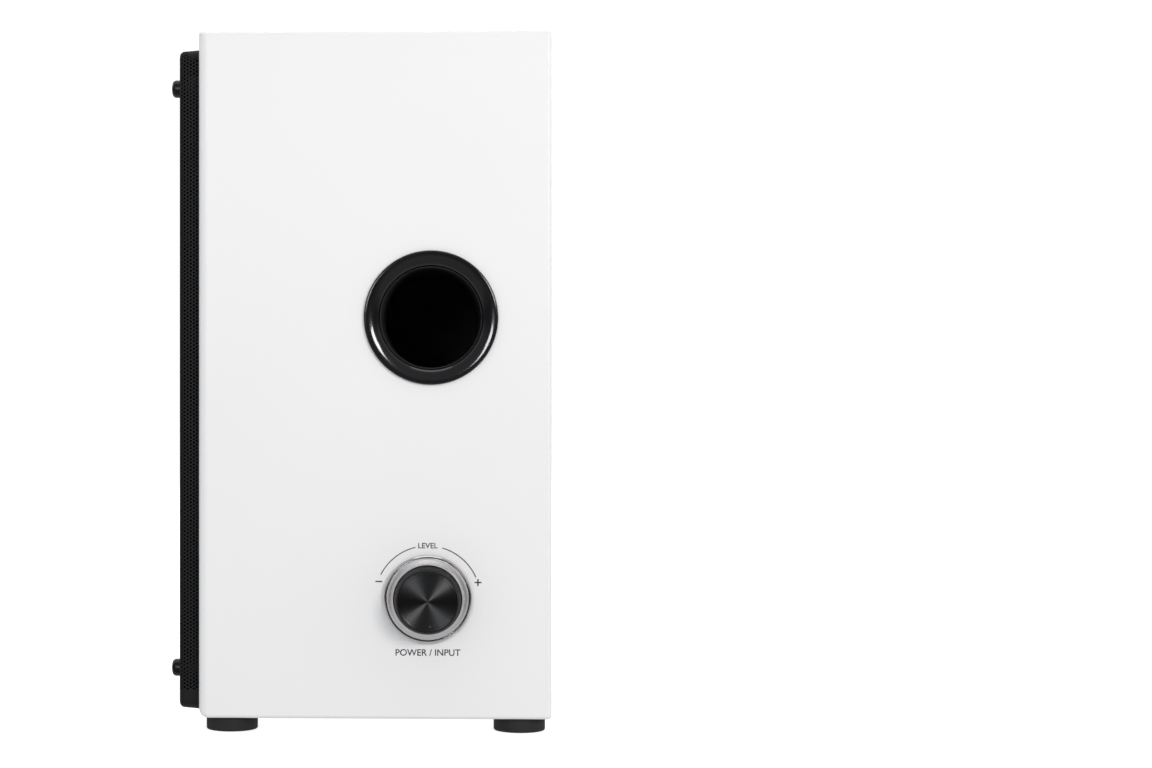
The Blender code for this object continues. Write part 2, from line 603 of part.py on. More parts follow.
def make_amplifier(rear):
    """The amplifier's plate with its connectors, its board and the mains transformer."""
    half = PLATE_WIDTH / 2.0
    plate = add_piece("amplifier_plate",
                      box_mesh((-half, PLATE_BOTTOM, PLATE_GAP),
                               (half, PLATE_BOTTOM + PLATE_HEIGHT, PLATE_FRONT)),
                      "powder_coat", rear)
    opening(plate, SWITCH_AT, (14.0, 20.0), rear)
    opening(plate, INLET_AT, (22.0, 15.0), rear)
    opening(plate, TERMINALS_AT, (30.0, 26.0), rear)
    for _, x, y in jack_places():
        drill(plate, 4.2, -5.0, 5.0, rear, (x, y, 0.0), 24)
    for _, x, y in plate_screw_places():
        drill(plate, 1.8, -5.0, 5.0, rear, (x, y, 0.0), COARSE)
    for place, x, y in plate_screw_places():
        make_pan_screw(f"amplifier_screw_{place}", rear, (x, y, PLATE_FRONT + 0.1), 3.0, 1.4, 12.0)
    make_inlet(rear)
    make_power_switch(rear)
    make_terminals(rear)
    for place, x, y in jack_places():
        make_jack(f"input_jack_{place}", rear, (x, y, PLATE_FRONT),
                  "red_plastic" if place == "red" else "white_plastic")
    make_amplifier_board(rear)
    make_transformer(rear)


def opening(plate, centre, size, rear):
    """A rectangular opening in the plate, with a little clearance."""
    spare = 0.3
    half_x = size[0] / 2.0 + spare
    half_y = size[1] / 2.0 + spare
    window(plate, (centre[0] - half_x, centre[1] - half_y, -5.0),
           (centre[0] + half_x, centre[1] + half_y, 5.0), rear)


def jack_places():
    x, y = JACKS_AT
    return [("white", x, y + JACK_PITCH / 2.0), ("red", x, y - JACK_PITCH / 2.0)]


def make_jack(name, rear, at, finish):
    """A round signal jack: a collar on the plate, a barrel and a blind socket."""
    outline = [(0.0, -9.0), (3.9, -9.0), (3.9, 0.2), (6.2, 0.2), (6.2, 1.8), (4.15, 2.0),
               (4.15, JACK_OUT - 0.3), (3.85, JACK_OUT), (1.9, JACK_OUT), (1.7, JACK_OUT - 0.3),
               (1.7, 1.0), (0.0, 1.0)]
    add_piece(name, turned_mesh(outline, 20), finish, rear, at)


def make_inlet(rear):
    """A two-pin mains inlet: a flanged shell with a recess and two pins in it."""
    x, y = INLET_AT
    front = PLATE_FRONT
    shell = add_piece("mains_inlet",
                      box_mesh((x - 14.0, y - 9.5, front + 0.2), (x + 14.0, y + 9.5, front + 2.4)),
                      "matte_black", rear)
    join_box(shell, (x - 11.0, y - 7.5, front - 18.0), (x + 11.0, y + 7.5, front + 1.0), rear)
    window(shell, (x - 7.6, y - 4.3, front - 12.0), (x + 7.6, y + 4.3, front + 5.0), rear)
    for side in (-4.3, 4.3):
        join_rod(shell, 1.2, front - 14.0, front - 2.0, rear, (x + side, y, 0.0), 12)


def make_power_switch(rear):
    """A rocker in its frame; the hinge runs across the rocker's middle."""
    x, y = SWITCH_AT
    front = PLATE_FRONT
    frame = add_piece("power_switch_frame",
                      box_mesh((x - 8.5, y - 11.5, front + 0.2), (x + 8.5, y + 11.5, front + 2.0)),
                      "matte_black", rear)
    join_box(frame, (x - 7.0, y - 10.0, front - 14.0), (x + 7.0, y + 10.0, front + 1.0), rear)
    window(frame, (x - 5.6, y - 8.6, front - 9.0), (x + 5.6, y + 8.6, front + 5.0), rear)
    hinge = add_frame("power_switch", (x, y, front - 1.0), parent=rear)
    outline = [(-7.6, -1.2), (7.6, -1.2), (7.9, 3.4), (7.2, 4.0), (0.0, 3.0), (-7.2, 4.0),
               (-7.9, 3.4)]
    bm = prism_mesh(outline, -5.2, 5.2)
    # The outline is (up, out), so stand the prism's length across the switch.
    for vert in bm.verts:
        up, out, across = vert.co
        vert.co = (across, up, out)
    add_piece("power_switch_rocker", bm, "matte_black", hinge,
              turn=(math.radians(ROCKER_TILT), 0.0, 0.0))


def make_terminals(rear):
    """A block of two spring clips for the other speaker's bare wires, with a lever for each."""
    x, y = TERMINALS_AT
    front = PLATE_FRONT
    block = add_piece("terminal_block",
                      box_mesh((x - 17.0, y - 17.0, front + 0.2), (x + 17.0, y + 15.0, front + 6.0)),
                      "matte_black", rear)
    join_box(block, (x - 15.0, y - 13.0, front - 10.0), (x + 15.0, y + 13.0, front + 1.0), rear)
    for name, side, finish in (("red", -1.0, "red_plastic"), ("black", 1.0, "matte_black")):
        middle = x + side * LEVER_PITCH / 2.0
        window(block, (middle - 5.3, y - 8.5, front - 6.0), (middle + 5.3, y + 13.0, front + 9.0), rear)
        drill(block, 1.6, front - 6.0, front + 9.0, rear, (middle, y - 12.4, 0.0),
              COARSE)
        hinge = add_frame(f"terminal_{name}", (middle, y + LEVER_PIVOT[0], front + LEVER_PIVOT[1] - 4.0),
                          parent=rear)
        outline = [(-13.4, 1.6), (-15.4, 6.4), (-12.8, 7.4), (-9.0, 5.2), (1.5, 4.0), (2.4, 2.6),
                   (2.4, -1.6), (-2.0, -2.2)]
        bm = prism_mesh(outline, -4.9, 4.9)
        for vert in bm.verts:
            up, out, across = vert.co
            vert.co = (across, up, out)
        add_piece(f"terminal_lever_{name}", bm, finish, hinge)


def make_amplifier_board(rear):
    """The circuit board with its heat sink and its largest components."""
    board = add_piece("amplifier_board", box_mesh((-50.0, 58.0, -28.0), (50.0, 128.0, -26.4)),
                      "circuit_board", rear)
    join_box(board, (10.0, 70.0, -40.0), (46.0, 82.0, -27.0), rear)
    join_rod(board, 6.3, -42.0, -27.0, rear, (-34.0, 74.0, 0.0))
    join_rod(board, 6.3, -42.0, -27.0, rear, (-18.0, 74.0, 0.0))
    join_box(board, (-44.0, 108.0, -38.0), (-30.0, 122.0, -27.0), rear)


def make_transformer(rear):
    """The mains transformer: a laminated core round its winding, standing on the cabinet's floor."""
    floor = FOOT_HEIGHT + PANEL + 0.3
    core = add_piece("transformer", box_mesh((14.0, floor, -58.0), (60.0, floor + 38.0, -38.0)),
                     "steel", rear)
    join_box(core, (22.0, floor + 7.0, -67.0), (52.0, floor + 31.0, -29.0), rear)


# ---------------------------------------------------------------- wiring


def smooth_route(points, steps=4):
    """Points along a smooth curve through the given ones."""
    route = [Vector(p) for p in points]
    ends = [2.0 * route[0] - route[1]] + route + [2.0 * route[-1] - route[-2]]
    found = []
    for a, b, c, d in zip(ends, ends[1:], ends[2:], ends[3:]):
        for i in range(steps):
            t = i / steps
            found.append(0.5 * (2.0 * b + (c - a) * t + (2.0 * a - 5.0 * b + 4.0 * c - d) * t * t
                                + (3.0 * b - a - 3.0 * c + d) * t * t * t))
    return found + [route[-1]]


def make_wire(name, root, points, radius, finish):
    """A soft wire between two places inside the cabinet."""
    curve = bpy.data.curves.new(name, "CURVE")
    curve.dimensions = "3D"
    curve.bevel_depth = radius * MM
    curve.bevel_resolution = 1
    curve.use_fill_caps = True
    route = smooth_route(points)
    spline = curve.splines.new("POLY")
    spline.points.add(len(route) - 1)
    for point, place in zip(spline.points, route):
        point.co = (*(place * MM), 1.0)
    curve.materials.append(finish_named(finish))
    wire = bpy.data.objects.new(name, curve)
    wire.parent = root
    bpy.context.scene.collection.objects.link(wire)
    return wire


def make_wiring(root):
    """Wires from the amplifier's board to both drivers."""
    make_wire("woofer_wires", root,
              [(36.0, -50.0, 56.0), (42.0, -36.0, 50.0), (46.0, -10.0, 56.0), (48.0, 4.0, 76.0),
               (42.0, 20.0, 94.0), (34.0, 30.8, 100.0)], 1.3, "wire_red")
    make_wire("tweeter_wires", root,
              [(-12.0, -46.5, 214.0), (-20.0, -40.0, 210.0), (-42.0, -18.0, 200.0),
               (-50.0, -14.0, 176.0), (-50.0, -8.0, 140.0), (-48.0, 14.0, 118.0),
               (-44.0, 30.8, 104.0)], 1.3, "wire_red")


def main():
    for obj in list(bpy.data.objects):
        bpy.data.objects.remove(obj, do_unlink=True)
    root = add_frame("speaker", (SHIFT_X, SHIFT_Y, 0.0))
    front = add_frame("front_face", (0.0, -CABINET_DEPTH / 2.0, 0.0), FACING_FRONT, root)
    left = add_frame("left_face", (CABINET_WIDTH / 2.0, 0.0, 0.0), FACING_LEFT, root)
    rear = add_frame("rear_face", (0.0, CABINET_DEPTH / 2.0 - REAR_RECESS, 0.0), FACING_REAR, root)
    blank = make_blank(root)
    make_cabinet(root, blank, front, left, rear)
    make_feet(root)
    make_grille(front)
    make_woofer(front)
    make_tweeter(front)
    make_port(left)
    make_knob(left)
    make_amplifier(rear)
    make_wiring(root)


main()
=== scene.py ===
"""The looks of a small powered bookshelf speaker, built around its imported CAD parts.

Lengths in this file are in millimetres, in the frame of the CAD, unless a comment says metres.
"""
import json
import math

import bmesh
import bpy
import numpy as np
from mathutils import Matrix, Vector
from mathutils.geometry import delaunay_2d_cdt

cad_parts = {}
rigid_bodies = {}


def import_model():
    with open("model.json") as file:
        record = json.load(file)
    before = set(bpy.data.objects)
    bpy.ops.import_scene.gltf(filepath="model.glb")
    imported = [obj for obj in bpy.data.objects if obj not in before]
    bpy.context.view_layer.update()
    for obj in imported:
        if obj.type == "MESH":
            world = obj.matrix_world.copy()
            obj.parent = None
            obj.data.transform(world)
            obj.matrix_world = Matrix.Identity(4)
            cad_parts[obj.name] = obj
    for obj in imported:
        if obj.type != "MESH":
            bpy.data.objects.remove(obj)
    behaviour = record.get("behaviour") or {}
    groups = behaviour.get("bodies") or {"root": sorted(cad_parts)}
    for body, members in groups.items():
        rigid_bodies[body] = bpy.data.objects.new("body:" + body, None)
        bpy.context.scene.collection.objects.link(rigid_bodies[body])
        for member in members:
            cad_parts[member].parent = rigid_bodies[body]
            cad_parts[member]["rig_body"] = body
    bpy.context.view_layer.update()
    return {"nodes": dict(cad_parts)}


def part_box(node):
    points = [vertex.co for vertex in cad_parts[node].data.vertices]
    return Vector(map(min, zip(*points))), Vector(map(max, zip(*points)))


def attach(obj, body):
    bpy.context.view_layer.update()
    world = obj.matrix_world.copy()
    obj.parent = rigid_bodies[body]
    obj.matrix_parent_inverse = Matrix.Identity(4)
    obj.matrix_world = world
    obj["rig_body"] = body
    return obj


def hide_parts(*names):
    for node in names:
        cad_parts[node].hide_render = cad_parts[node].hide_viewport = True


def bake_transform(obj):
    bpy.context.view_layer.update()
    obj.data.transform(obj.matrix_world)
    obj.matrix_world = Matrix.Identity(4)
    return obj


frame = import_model()

MM = 0.001
FULL_TURN = 2.0 * math.pi


# ---------------------------------------------------------------- places


def box_mm(node):
    """A CAD node's lowest and highest corners, in millimetres."""
    low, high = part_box(node)
    return low / MM, high / MM


def centre_mm(node):
    """The middle of a CAD node's box, in millimetres."""
    low, high = box_mm(node)
    return (low + high) / 2.0


def face_frame(across, up, out, origin):
    """A frame on a face of the cabinet: x runs across it, y up and z out of it."""
    matrix = Matrix((across, up, out)).transposed().to_4x4()
    matrix.translation = Vector(origin)
    return matrix


def at(face, across, up):
    """The face's frame, moved to a point on that face."""
    return face @ Matrix.Translation((across, up, 0.0))


def on_face(face, node):
    """The face's frame, moved to stand over the middle of a CAD node."""
    local = face.inverted() @ centre_mm(node)
    return at(face, local.x, local.y)


LEFT_LOW, LEFT_HIGH = box_mm("cabinet_left_panel")
RIGHT_LOW, RIGHT_HIGH = box_mm("cabinet_right_panel")
TOP_LOW, TOP_HIGH = box_mm("cabinet_top_panel")
BOTTOM_LOW, BOTTOM_HIGH = box_mm("cabinet_bottom_panel")
MIDDLE_X = (RIGHT_LOW.x + LEFT_HIGH.x) / 2.0
MIDDLE_Y = (TOP_LOW.y + TOP_HIGH.y) / 2.0
FRONT = face_frame((1, 0, 0), (0, 0, 1), (0, -1, 0), (MIDDLE_X, TOP_LOW.y, 0))
REAR_FACE = box_mm("rear_panel")[1].y
REAR = face_frame((-1, 0, 0), (0, 0, 1), (0, 1, 0), (MIDDLE_X, REAR_FACE, 0))
SIDE = face_frame((0, 1, 0), (0, 0, 1), (1, 0, 0), (LEFT_HIGH.x, MIDDLE_Y, 0))
WORLD = Matrix.Identity(4)


# ---------------------------------------------------------------- materials


def plain(name, color, roughness, metallic=0.0, **sockets):
    """A material with plain values on its shader's own sockets."""
    material = bpy.data.materials.new(name)
    material.use_nodes = True
    inputs = material.node_tree.nodes["Principled BSDF"].inputs
    inputs["Base Color"].default_value = (*color, 1.0)
    inputs["Roughness"].default_value = roughness
    inputs["Metallic"].default_value = metallic
    for socket, value in sockets.items():
        inputs[socket.replace("_", " ")].default_value = value
    return material


def node(material, kind, links=(), **values):
    """Adds a node to a material or the world; links are (input, output socket) pairs, values set inputs."""
    made = material.node_tree.nodes.new(kind)
    for name, value in values.items():
        made.inputs[name.replace("_", " ")].default_value = value
    for name, output in links:
        material.node_tree.links.new(output, made.inputs[name])
    return made


def object_point(material, stretch=(1.0, 1.0, 1.0)):
    """The point in the object's own space, stretched."""
    point = node(material, "ShaderNodeTexCoord").outputs["Object"]
    return node(material, "ShaderNodeMapping", [("Vector", point)], Scale=stretch).outputs["Vector"]


def noise(material, point, scale, detail=3.0):
    """Cloudy noise from 0 to 1; scale is features per metre."""
    made = node(material, "ShaderNodeTexNoise", [("Vector", point)], Scale=scale, Detail=detail)
    return made.outputs["Fac"]


def spread(material, value, low, high, start=0.3, end=0.7):
    """Maps value, from start to end, on to low to high."""
    made = node(material, "ShaderNodeMapRange", [("Value", value)])
    made.inputs["From Min"].default_value = start
    made.inputs["From Max"].default_value = end
    made.inputs["To Min"].default_value = low
    made.inputs["To Max"].default_value = high
    return made.outputs["Result"]


def shade_between(material, value, dark, light):
    """A colour from dark to light, by value from 0 to 1."""
    made = material.node_tree.nodes.new("ShaderNodeMix")
    made.data_type = "RGBA"
    ends = {"A": dark, "B": light}
    for socket in made.inputs:
        if socket.type == "RGBA" and socket.name in ends:
            socket.default_value = (*ends[socket.name], 1.0)
    material.node_tree.links.new(value, made.inputs["Factor"])
    return next(socket for socket in made.outputs if socket.type == "RGBA")


def relief(material, height, depth, before=None):
    """A bump of that depth in millimetres, over the one before."""
    made = node(material, "ShaderNodeBump", [("Height", height)], Strength=1.0, Distance=depth * MM)
    if before is not None:
        material.node_tree.links.new(before, made.inputs["Normal"])
    return made.outputs["Normal"]


def wire(material, **links):
    """Joins node outputs to the shader's sockets."""
    inputs = material.node_tree.nodes["Principled BSDF"].inputs
    for name, output in links.items():
        material.node_tree.links.new(output, inputs[name.replace("_", " ")])
    return material


def grained(material, light, scale, depth, roughness, stretch=(1.0, 1.0, 1.0), patch=18.0):
    """Adds fine grain and slow patches: colour towards light, a range of roughness and a shallow bump."""
    shader = material.node_tree.nodes["Principled BSDF"]
    dark = tuple(shader.inputs["Base Color"].default_value)[:3]
    point = object_point(material, stretch)
    fine = noise(material, point, scale)
    slow = noise(material, object_point(material), patch, 2.0)
    color = shade_between(material, spread(material, slow, 0.0, 1.0), dark, light)
    rough = spread(material, slow, roughness[0], roughness[1])
    return wire(material, Base_Color=color, Roughness=rough, Normal=relief(material, fine, depth))


def white_wrap():
    """Smooth satin vinyl, with a faint orange peel and hardly visible patches."""
    material = plain("white_wrap", (0.752, 0.751, 0.754), 0.4)
    grained(material, (0.77, 0.769, 0.77), 700.0, 0.012, (0.36, 0.44), patch=9.0)
    return material


def black_board():
    """Black-stained fibre board, with short fibres."""
    material = plain("black_board", (0.012, 0.012, 0.013), 0.6)
    return grained(material, (0.02, 0.02, 0.022), 900.0, 0.05, (0.5, 0.7), (1.0, 1.0, 0.35))


def rubber():
    """Moulded black rubber, dusty in places."""
    material = plain("rubber", (0.013, 0.013, 0.0135), 0.7, Specular_IOR_Level=0.35)
    return grained(material, (0.022, 0.022, 0.023), 1500.0, 0.04, (0.6, 0.8), patch=60.0)


def matte_black():
    """Black plastic with the fine spark-eroded texture of its mould."""
    material = plain("matte_black", (0.014, 0.014, 0.015), 0.45)
    return grained(material, (0.02, 0.02, 0.021), 2400.0, 0.02, (0.35, 0.5), patch=50.0)


def gloss_black():
    """Polished black plastic, with the slightest ripple."""
    material = plain("gloss_black", (0.006, 0.006, 0.007), 0.12, Coat_Weight=0.5, Coat_Roughness=0.05)
    return grained(material, (0.008, 0.008, 0.009), 260.0, 0.004, (0.1, 0.16), patch=70.0)


def soft_black():
    """Soft-touch black paint, which shows next to no reflections."""
    material = plain("soft_black", (0.007, 0.007, 0.0075), 0.55, Specular_IOR_Level=0.16)
    return grained(material, (0.01, 0.01, 0.0105), 1600.0, 0.01, (0.5, 0.6), patch=60.0)


def powder_coat():
    """Satin black paint over pressed steel; kept plain, because the piece is pierced all over."""
    return plain("powder_coat", (0.009, 0.009, 0.0095), 0.6, Specular_IOR_Level=0.24)


def painted_plate():
    """Black paint with a fine wrinkle."""
    material = plain("painted_plate", (0.014, 0.014, 0.015), 0.45)
    return grained(material, (0.02, 0.02, 0.021), 1900.0, 0.05, (0.38, 0.52), patch=40.0)


def metal(name, dark, light, roughness, scale=1200.0, stretch=(1.0, 1.0, 1.0), depth=0.01):
    """A metal with fine marks along one direction."""
    material = plain(name, dark, roughness[0], 1.0)
    return grained(material, light, scale, depth, roughness, stretch, patch=80.0)


def spun_black():
    """Black anodised metal turned on a lathe: fine rings round the knob's axis."""
    material = plain("spun_black", (0.07, 0.07, 0.072), 0.4, 1.0, Anisotropic=1.0, Anisotropic_Rotation=0.25)
    tangent = material.node_tree.nodes.new("ShaderNodeTangent")
    tangent.direction_type = "RADIAL"
    tangent.axis = "X"
    point = object_point(material)
    axis = centre_mm("knob_cap") * MM
    arm = node(material, "ShaderNodeVectorMath", [("Vector", point)])
    arm.operation = "SUBTRACT"
    arm.inputs[1].default_value = (0.0, axis.y, axis.z)
    flat = node(material, "ShaderNodeVectorMath", [("Vector", arm.outputs["Vector"])])
    flat.operation = "MULTIPLY"
    flat.inputs[1].default_value = (0.0, 1.0, 1.0)
    length = node(material, "ShaderNodeVectorMath", [("Vector", flat.outputs["Vector"])])
    length.operation = "LENGTH"
    rings = noise(material, length.outputs["Value"], 9000.0, 1.0)
    rough = spread(material, rings, 0.36, 0.44)
    return wire(material, Tangent=tangent.outputs["Tangent"], Roughness=rough)


def woven(name, dark, light, pitch, depth, roughness):
    """A cloth of crossed threads, a pitch apart."""
    material = plain(name, dark, roughness)
    point = object_point(material)
    waves = []
    for direction in ("X", "Z"):
        made = node(material, "ShaderNodeTexWave", [("Vector", point)], Scale=1.0 / (pitch * MM) / FULL_TURN)
        made.bands_direction = direction
        waves.append(made.outputs["Fac"])
    crossed = node(material, "ShaderNodeMath", [(0, waves[0]), (1, waves[1])])
    crossed.operation = "MULTIPLY"
    color = shade_between(material, crossed.outputs["Value"], dark, light)
    return wire(material, Base_Color=color, Normal=relief(material, crossed.outputs["Value"], depth))


def paper():
    """Black pressed paper pulp, with long pale fibres."""
    material = plain("paper", (0.018, 0.018, 0.018), 0.8)
    return grained(material, (0.035, 0.035, 0.034), 1300.0, 0.08, (0.7, 0.85), (1.0, 1.0, 0.3), patch=160.0)


def tinted(name, dark, light, roughness, scale=1800.0, depth=0.015):
    """A coloured plastic or lacquer with a fine texture."""
    material = plain(name, dark, roughness[0])
    return grained(material, light, scale, depth, roughness, patch=60.0)


LOOKS = {
    "white_wrap": white_wrap(),
    "black_board": black_board(),
    "powder_coat": powder_coat(),
    "black_screw": metal("black_screw", (0.03, 0.03, 0.032), (0.05, 0.05, 0.052), (0.3, 0.42)),
    "rubber": rubber(),
    "gloss_black": gloss_black(),
    "matte_black": matte_black(),
    "chrome": metal("chrome", (0.5, 0.485, 0.49), (0.58, 0.565, 0.57), (0.1, 0.16), depth=0.002),
    "spun_black": spun_black(),
    "steel": metal("steel", (0.42, 0.42, 0.43), (0.55, 0.55, 0.56), (0.25, 0.4)),
    "brass": metal("brass", (0.62, 0.45, 0.2), (0.75, 0.56, 0.28), (0.2, 0.32)),
    "ferrite": tinted("ferrite", (0.03, 0.03, 0.033), (0.05, 0.05, 0.054), (0.5, 0.7), 700.0, 0.05),
    "paper": paper(),
    "silk": woven("silk", (0.012, 0.012, 0.013), (0.03, 0.03, 0.032), 0.35, 0.02, 0.55),
    "spider_cloth": woven("spider_cloth", (0.35, 0.25, 0.1), (0.5, 0.36, 0.16), 0.7, 0.08, 0.8),
    "copper": metal("copper", (0.6, 0.28, 0.14), (0.75, 0.38, 0.2), (0.22, 0.35)),
    "circuit_board": tinted("circuit_board", (0.01, 0.09, 0.03), (0.02, 0.14, 0.05), (0.3, 0.45), 400.0),
    "red_plastic": tinted("red_plastic", (0.45, 0.012, 0.01), (0.52, 0.02, 0.015), (0.28, 0.4)),
    "white_plastic": tinted("white_plastic", (0.7, 0.7, 0.68), (0.76, 0.76, 0.74), (0.28, 0.4)),
    "wire_red": tinted("wire_red", (0.4, 0.02, 0.015), (0.5, 0.03, 0.02), (0.35, 0.45)),
    # felt: near-black, used only for the painted-shade pad behind the port
    "felt": tinted("felt", (0.02, 0.02, 0.02), (0.034, 0.034, 0.034), (0.9, 1.0), 900.0, 0.3),
    "painted_plate": painted_plate(),
    "soft_black": soft_black(),
    "duct_black": tinted("duct_black", (0.022, 0.022, 0.023), (0.03, 0.03, 0.031), (0.6, 0.7), 500.0),
    "mark": tinted("mark", (0.1, 0.13, 0.115), (0.12, 0.15, 0.135), (0.5, 0.6), 3000.0, 0.004),
    "ink": tinted("ink", (0.035, 0.035, 0.04), (0.05, 0.05, 0.055), (0.5, 0.6), 3000.0, 0.004),
    "pale_ink": tinted("pale_ink", (0.6, 0.6, 0.6), (0.7, 0.7, 0.7), (0.5, 0.6), 3000.0, 0.004),
    "gold": metal("gold", (0.8, 0.56, 0.2), (0.9, 0.66, 0.28), (0.14, 0.24)),
}


# ---------------------------------------------------------------- meshes


def mesh_object(name, points, faces, place=WORLD):
    """A new object from points in a face's frame, with doubled points merged and faces turned outwards."""
    spots = np.array(points, float).reshape(-1, 3)
    turn = np.array(place.to_3x3())
    spots = (spots @ turn.T + np.array(place.translation)) * MM
    mesh = bpy.data.meshes.new(name)
    mesh.from_pydata(spots.tolist(), [], faces)
    bm = bmesh.new()
    bm.from_mesh(mesh)
    bmesh.ops.remove_doubles(bm, verts=bm.verts, dist=0.0005 * MM)
    bmesh.ops.recalc_face_normals(bm, faces=bm.faces)
    bm.to_mesh(mesh)
    bm.free()
    made = bpy.data.objects.new(name, mesh)
    bpy.context.scene.collection.objects.link(made)
    return made


def finished(made, look, body, replaces=(), crease=32.0):
    """Gives a piece its material, smooth shading with creases, its body and the CAD nodes it stands for."""
    made.data.materials.clear()
    made.data.materials.append(LOOKS[look])
    made.data.polygons.foreach_set("use_smooth", [True] * len(made.data.polygons))
    made.data.set_sharp_from_angle(angle=math.radians(crease))
    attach(made, body)
    if replaces:
        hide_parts(*replaces)
    return made


def with_flat_faces(made):
    """Keeps wide faces flat beside the small rounds next to them."""
    weighted = made.modifiers.new("weighted", "WEIGHTED_NORMAL")
    weighted.keep_sharp = True
    return made


def applied(made):
    """Bakes an object's modifiers into its mesh."""
    graph = bpy.context.evaluated_depsgraph_get()
    mesh = bpy.data.meshes.new_from_object(made.evaluated_get(graph))
    made.modifiers.clear()
    made.data = mesh
    return made


def cut(made, cutters):
    """Cuts the cutters out of an object, and removes them."""
    for cutter in cutters:
        boolean = made.modifiers.new("cut", "BOOLEAN")
        boolean.operation = "DIFFERENCE"
        boolean.solver = "EXACT"
        boolean.object = cutter
    applied(made)
    for cutter in cutters:
        bpy.data.objects.remove(cutter)
    return made


def softened(points, radius, steps=3):
    """A closed outline with its corners rounded; corners on the turning axis stay."""
    result = []
    count = len(points)
    for index, point in enumerate(points):
        corner = Vector(point)
        before = Vector(points[index - 1]) - corner
        after = Vector(points[(index + 1) % count]) - corner
        reach = min(radius, before.length * 0.45, after.length * 0.45)
        if corner.x < 1e-6 or reach < 1e-4:
            result.append((corner.x, corner.y))
            continue
        start = corner + before.normalized() * reach
        end = corner + after.normalized() * reach
        for step in range(steps + 1):
            t = step / steps
            spot = start * (1 - t) ** 2 + corner * (2 * t * (1 - t)) + end * t**2
            result.append((spot.x, spot.y))
    return result


def arc(centre, radius, start, end, steps=12):
    """Points on an arc, its angles in degrees."""
    angles = np.radians(np.linspace(start, end, steps + 1))
    return [(centre[0] + radius * math.cos(a), centre[1] + radius * math.sin(a)) for a in angles]


def turned_faces(rows, steps):
    """Faces between neighbouring rows of a closed profile turned all the way round."""
    faces = []
    for row in range(rows):
        following = (row + 1) % rows
        for step in range(steps):
            beside = (step + 1) % steps
            faces.append((row * steps + step, row * steps + beside,
                          following * steps + beside, following * steps + step))
    return faces


def turned(name, profile, place, steps=96):
    """A closed (radius, height) profile turned round the place's z axis."""
    angles = np.linspace(0.0, FULL_TURN, steps, endpoint=False)
    points = [(r * math.cos(a), r * math.sin(a), h) for r, h in profile for a in angles]
    return mesh_object(name, points, turned_faces(len(profile), steps), place)


def round_rectangle(width, height, corner, steps=6):
    """Points of a rectangle with rounded corners, anticlockwise."""
    points = []
    for index, (sx, sy) in enumerate(((1, 1), (-1, 1), (-1, -1), (1, -1))):
        middle = (sx * (width / 2 - corner), sy * (height / 2 - corner))
        points += arc(middle, corner, 90.0 * index, 90.0 * index + 90.0, steps)
    return points


def block(name, size, corner, low, high, edge, place, steps=3):
    """A slab with rounded corners and rounded edges, from low to high above its place."""
    width, height = size
    turn = [math.pi / 2 * step / steps for step in range(steps + 1)]
    rings = [(edge * (1 - math.sin(a)), low + edge * (1 - math.cos(a))) for a in turn]
    rings += [(edge * (1 - math.cos(a)), high - edge * (1 - math.sin(a))) for a in turn]
    points = []
    for inset, level in rings:
        outline = round_rectangle(width - 2 * inset, height - 2 * inset, max(corner - inset, 0.05))
        points += [(x, y, level) for x, y in outline]
    around = len(points) // len(rings)
    faces = turned_faces(len(rings), around)[: (len(rings) - 1) * around]
    faces.append(tuple(reversed(range(around))))
    faces.append(tuple(range((len(rings) - 1) * around, len(rings) * around)))
    return mesh_object(name, points, faces, place)


def peg(name, radius, low, high, place, steps=48):
    """A plain round cutter."""
    return turned(name, [(0.0, low), (radius, low), (radius, high), (0.0, high)], place, steps)


def cutter(size, corner, low, high, place):
    """A plain slab to cut with."""
    return block("cutter", size, corner, low, high, 0.01, place, 1)


def bent(name, outline, low, high, place):
    """A prism: an outline in the place's x and y, from low to high."""
    count = len(outline)
    points = [(x, y, low) for x, y in outline] + [(x, y, high) for x, y in outline]
    faces = [tuple(reversed(range(count))), tuple(range(count, 2 * count))]
    faces += [(i, (i + 1) % count, count + (i + 1) % count, count + i) for i in range(count)]
    return mesh_object(name, points, faces, place)


PRINT = 0.03  # thickness of the printing
BOLD = 0.05  # how far the letters are widened
CAP_SHARE = 0.7  # a capital's height over the font's size


def lettering(name, text, height, place, look):
    """Flat printed letters of that cap height, centred on the place."""
    curve = bpy.data.curves.new(name, "FONT")
    curve.body = text
    curve.size = height * MM / CAP_SHARE
    curve.align_x = "CENTER"
    curve.align_y = "CENTER"
    curve.extrude = PRINT * MM / 2
    curve.offset = BOLD * MM
    made = bpy.data.objects.new(name, curve)
    bpy.context.scene.collection.objects.link(made)
    spot = place.copy()
    spot.translation = (place @ Vector((0.0, 0.0, PRINT / 2))) * MM
    graph = bpy.context.evaluated_depsgraph_get()
    mesh = bpy.data.meshes.new_from_object(made.evaluated_get(graph))
    mesh.transform(spot)
    bpy.data.objects.remove(made)
    printed = bpy.data.objects.new(name, mesh)
    bpy.context.scene.collection.objects.link(printed)
    finished(printed, look, "cabinet")


# ---------------------------------------------------------------- camera, light and stage


CAMERA_AWAY = 0.92  # metres from the side of the cabinet
CAMERA_TURN = math.radians(1.9)  # the rear edge is a little nearer than the front one
LENS, SENSOR = 70.65, 36.0
SHIFT_ACROSS, SHIFT_UP = 0.175, -0.0078  # the speaker stands left of the middle


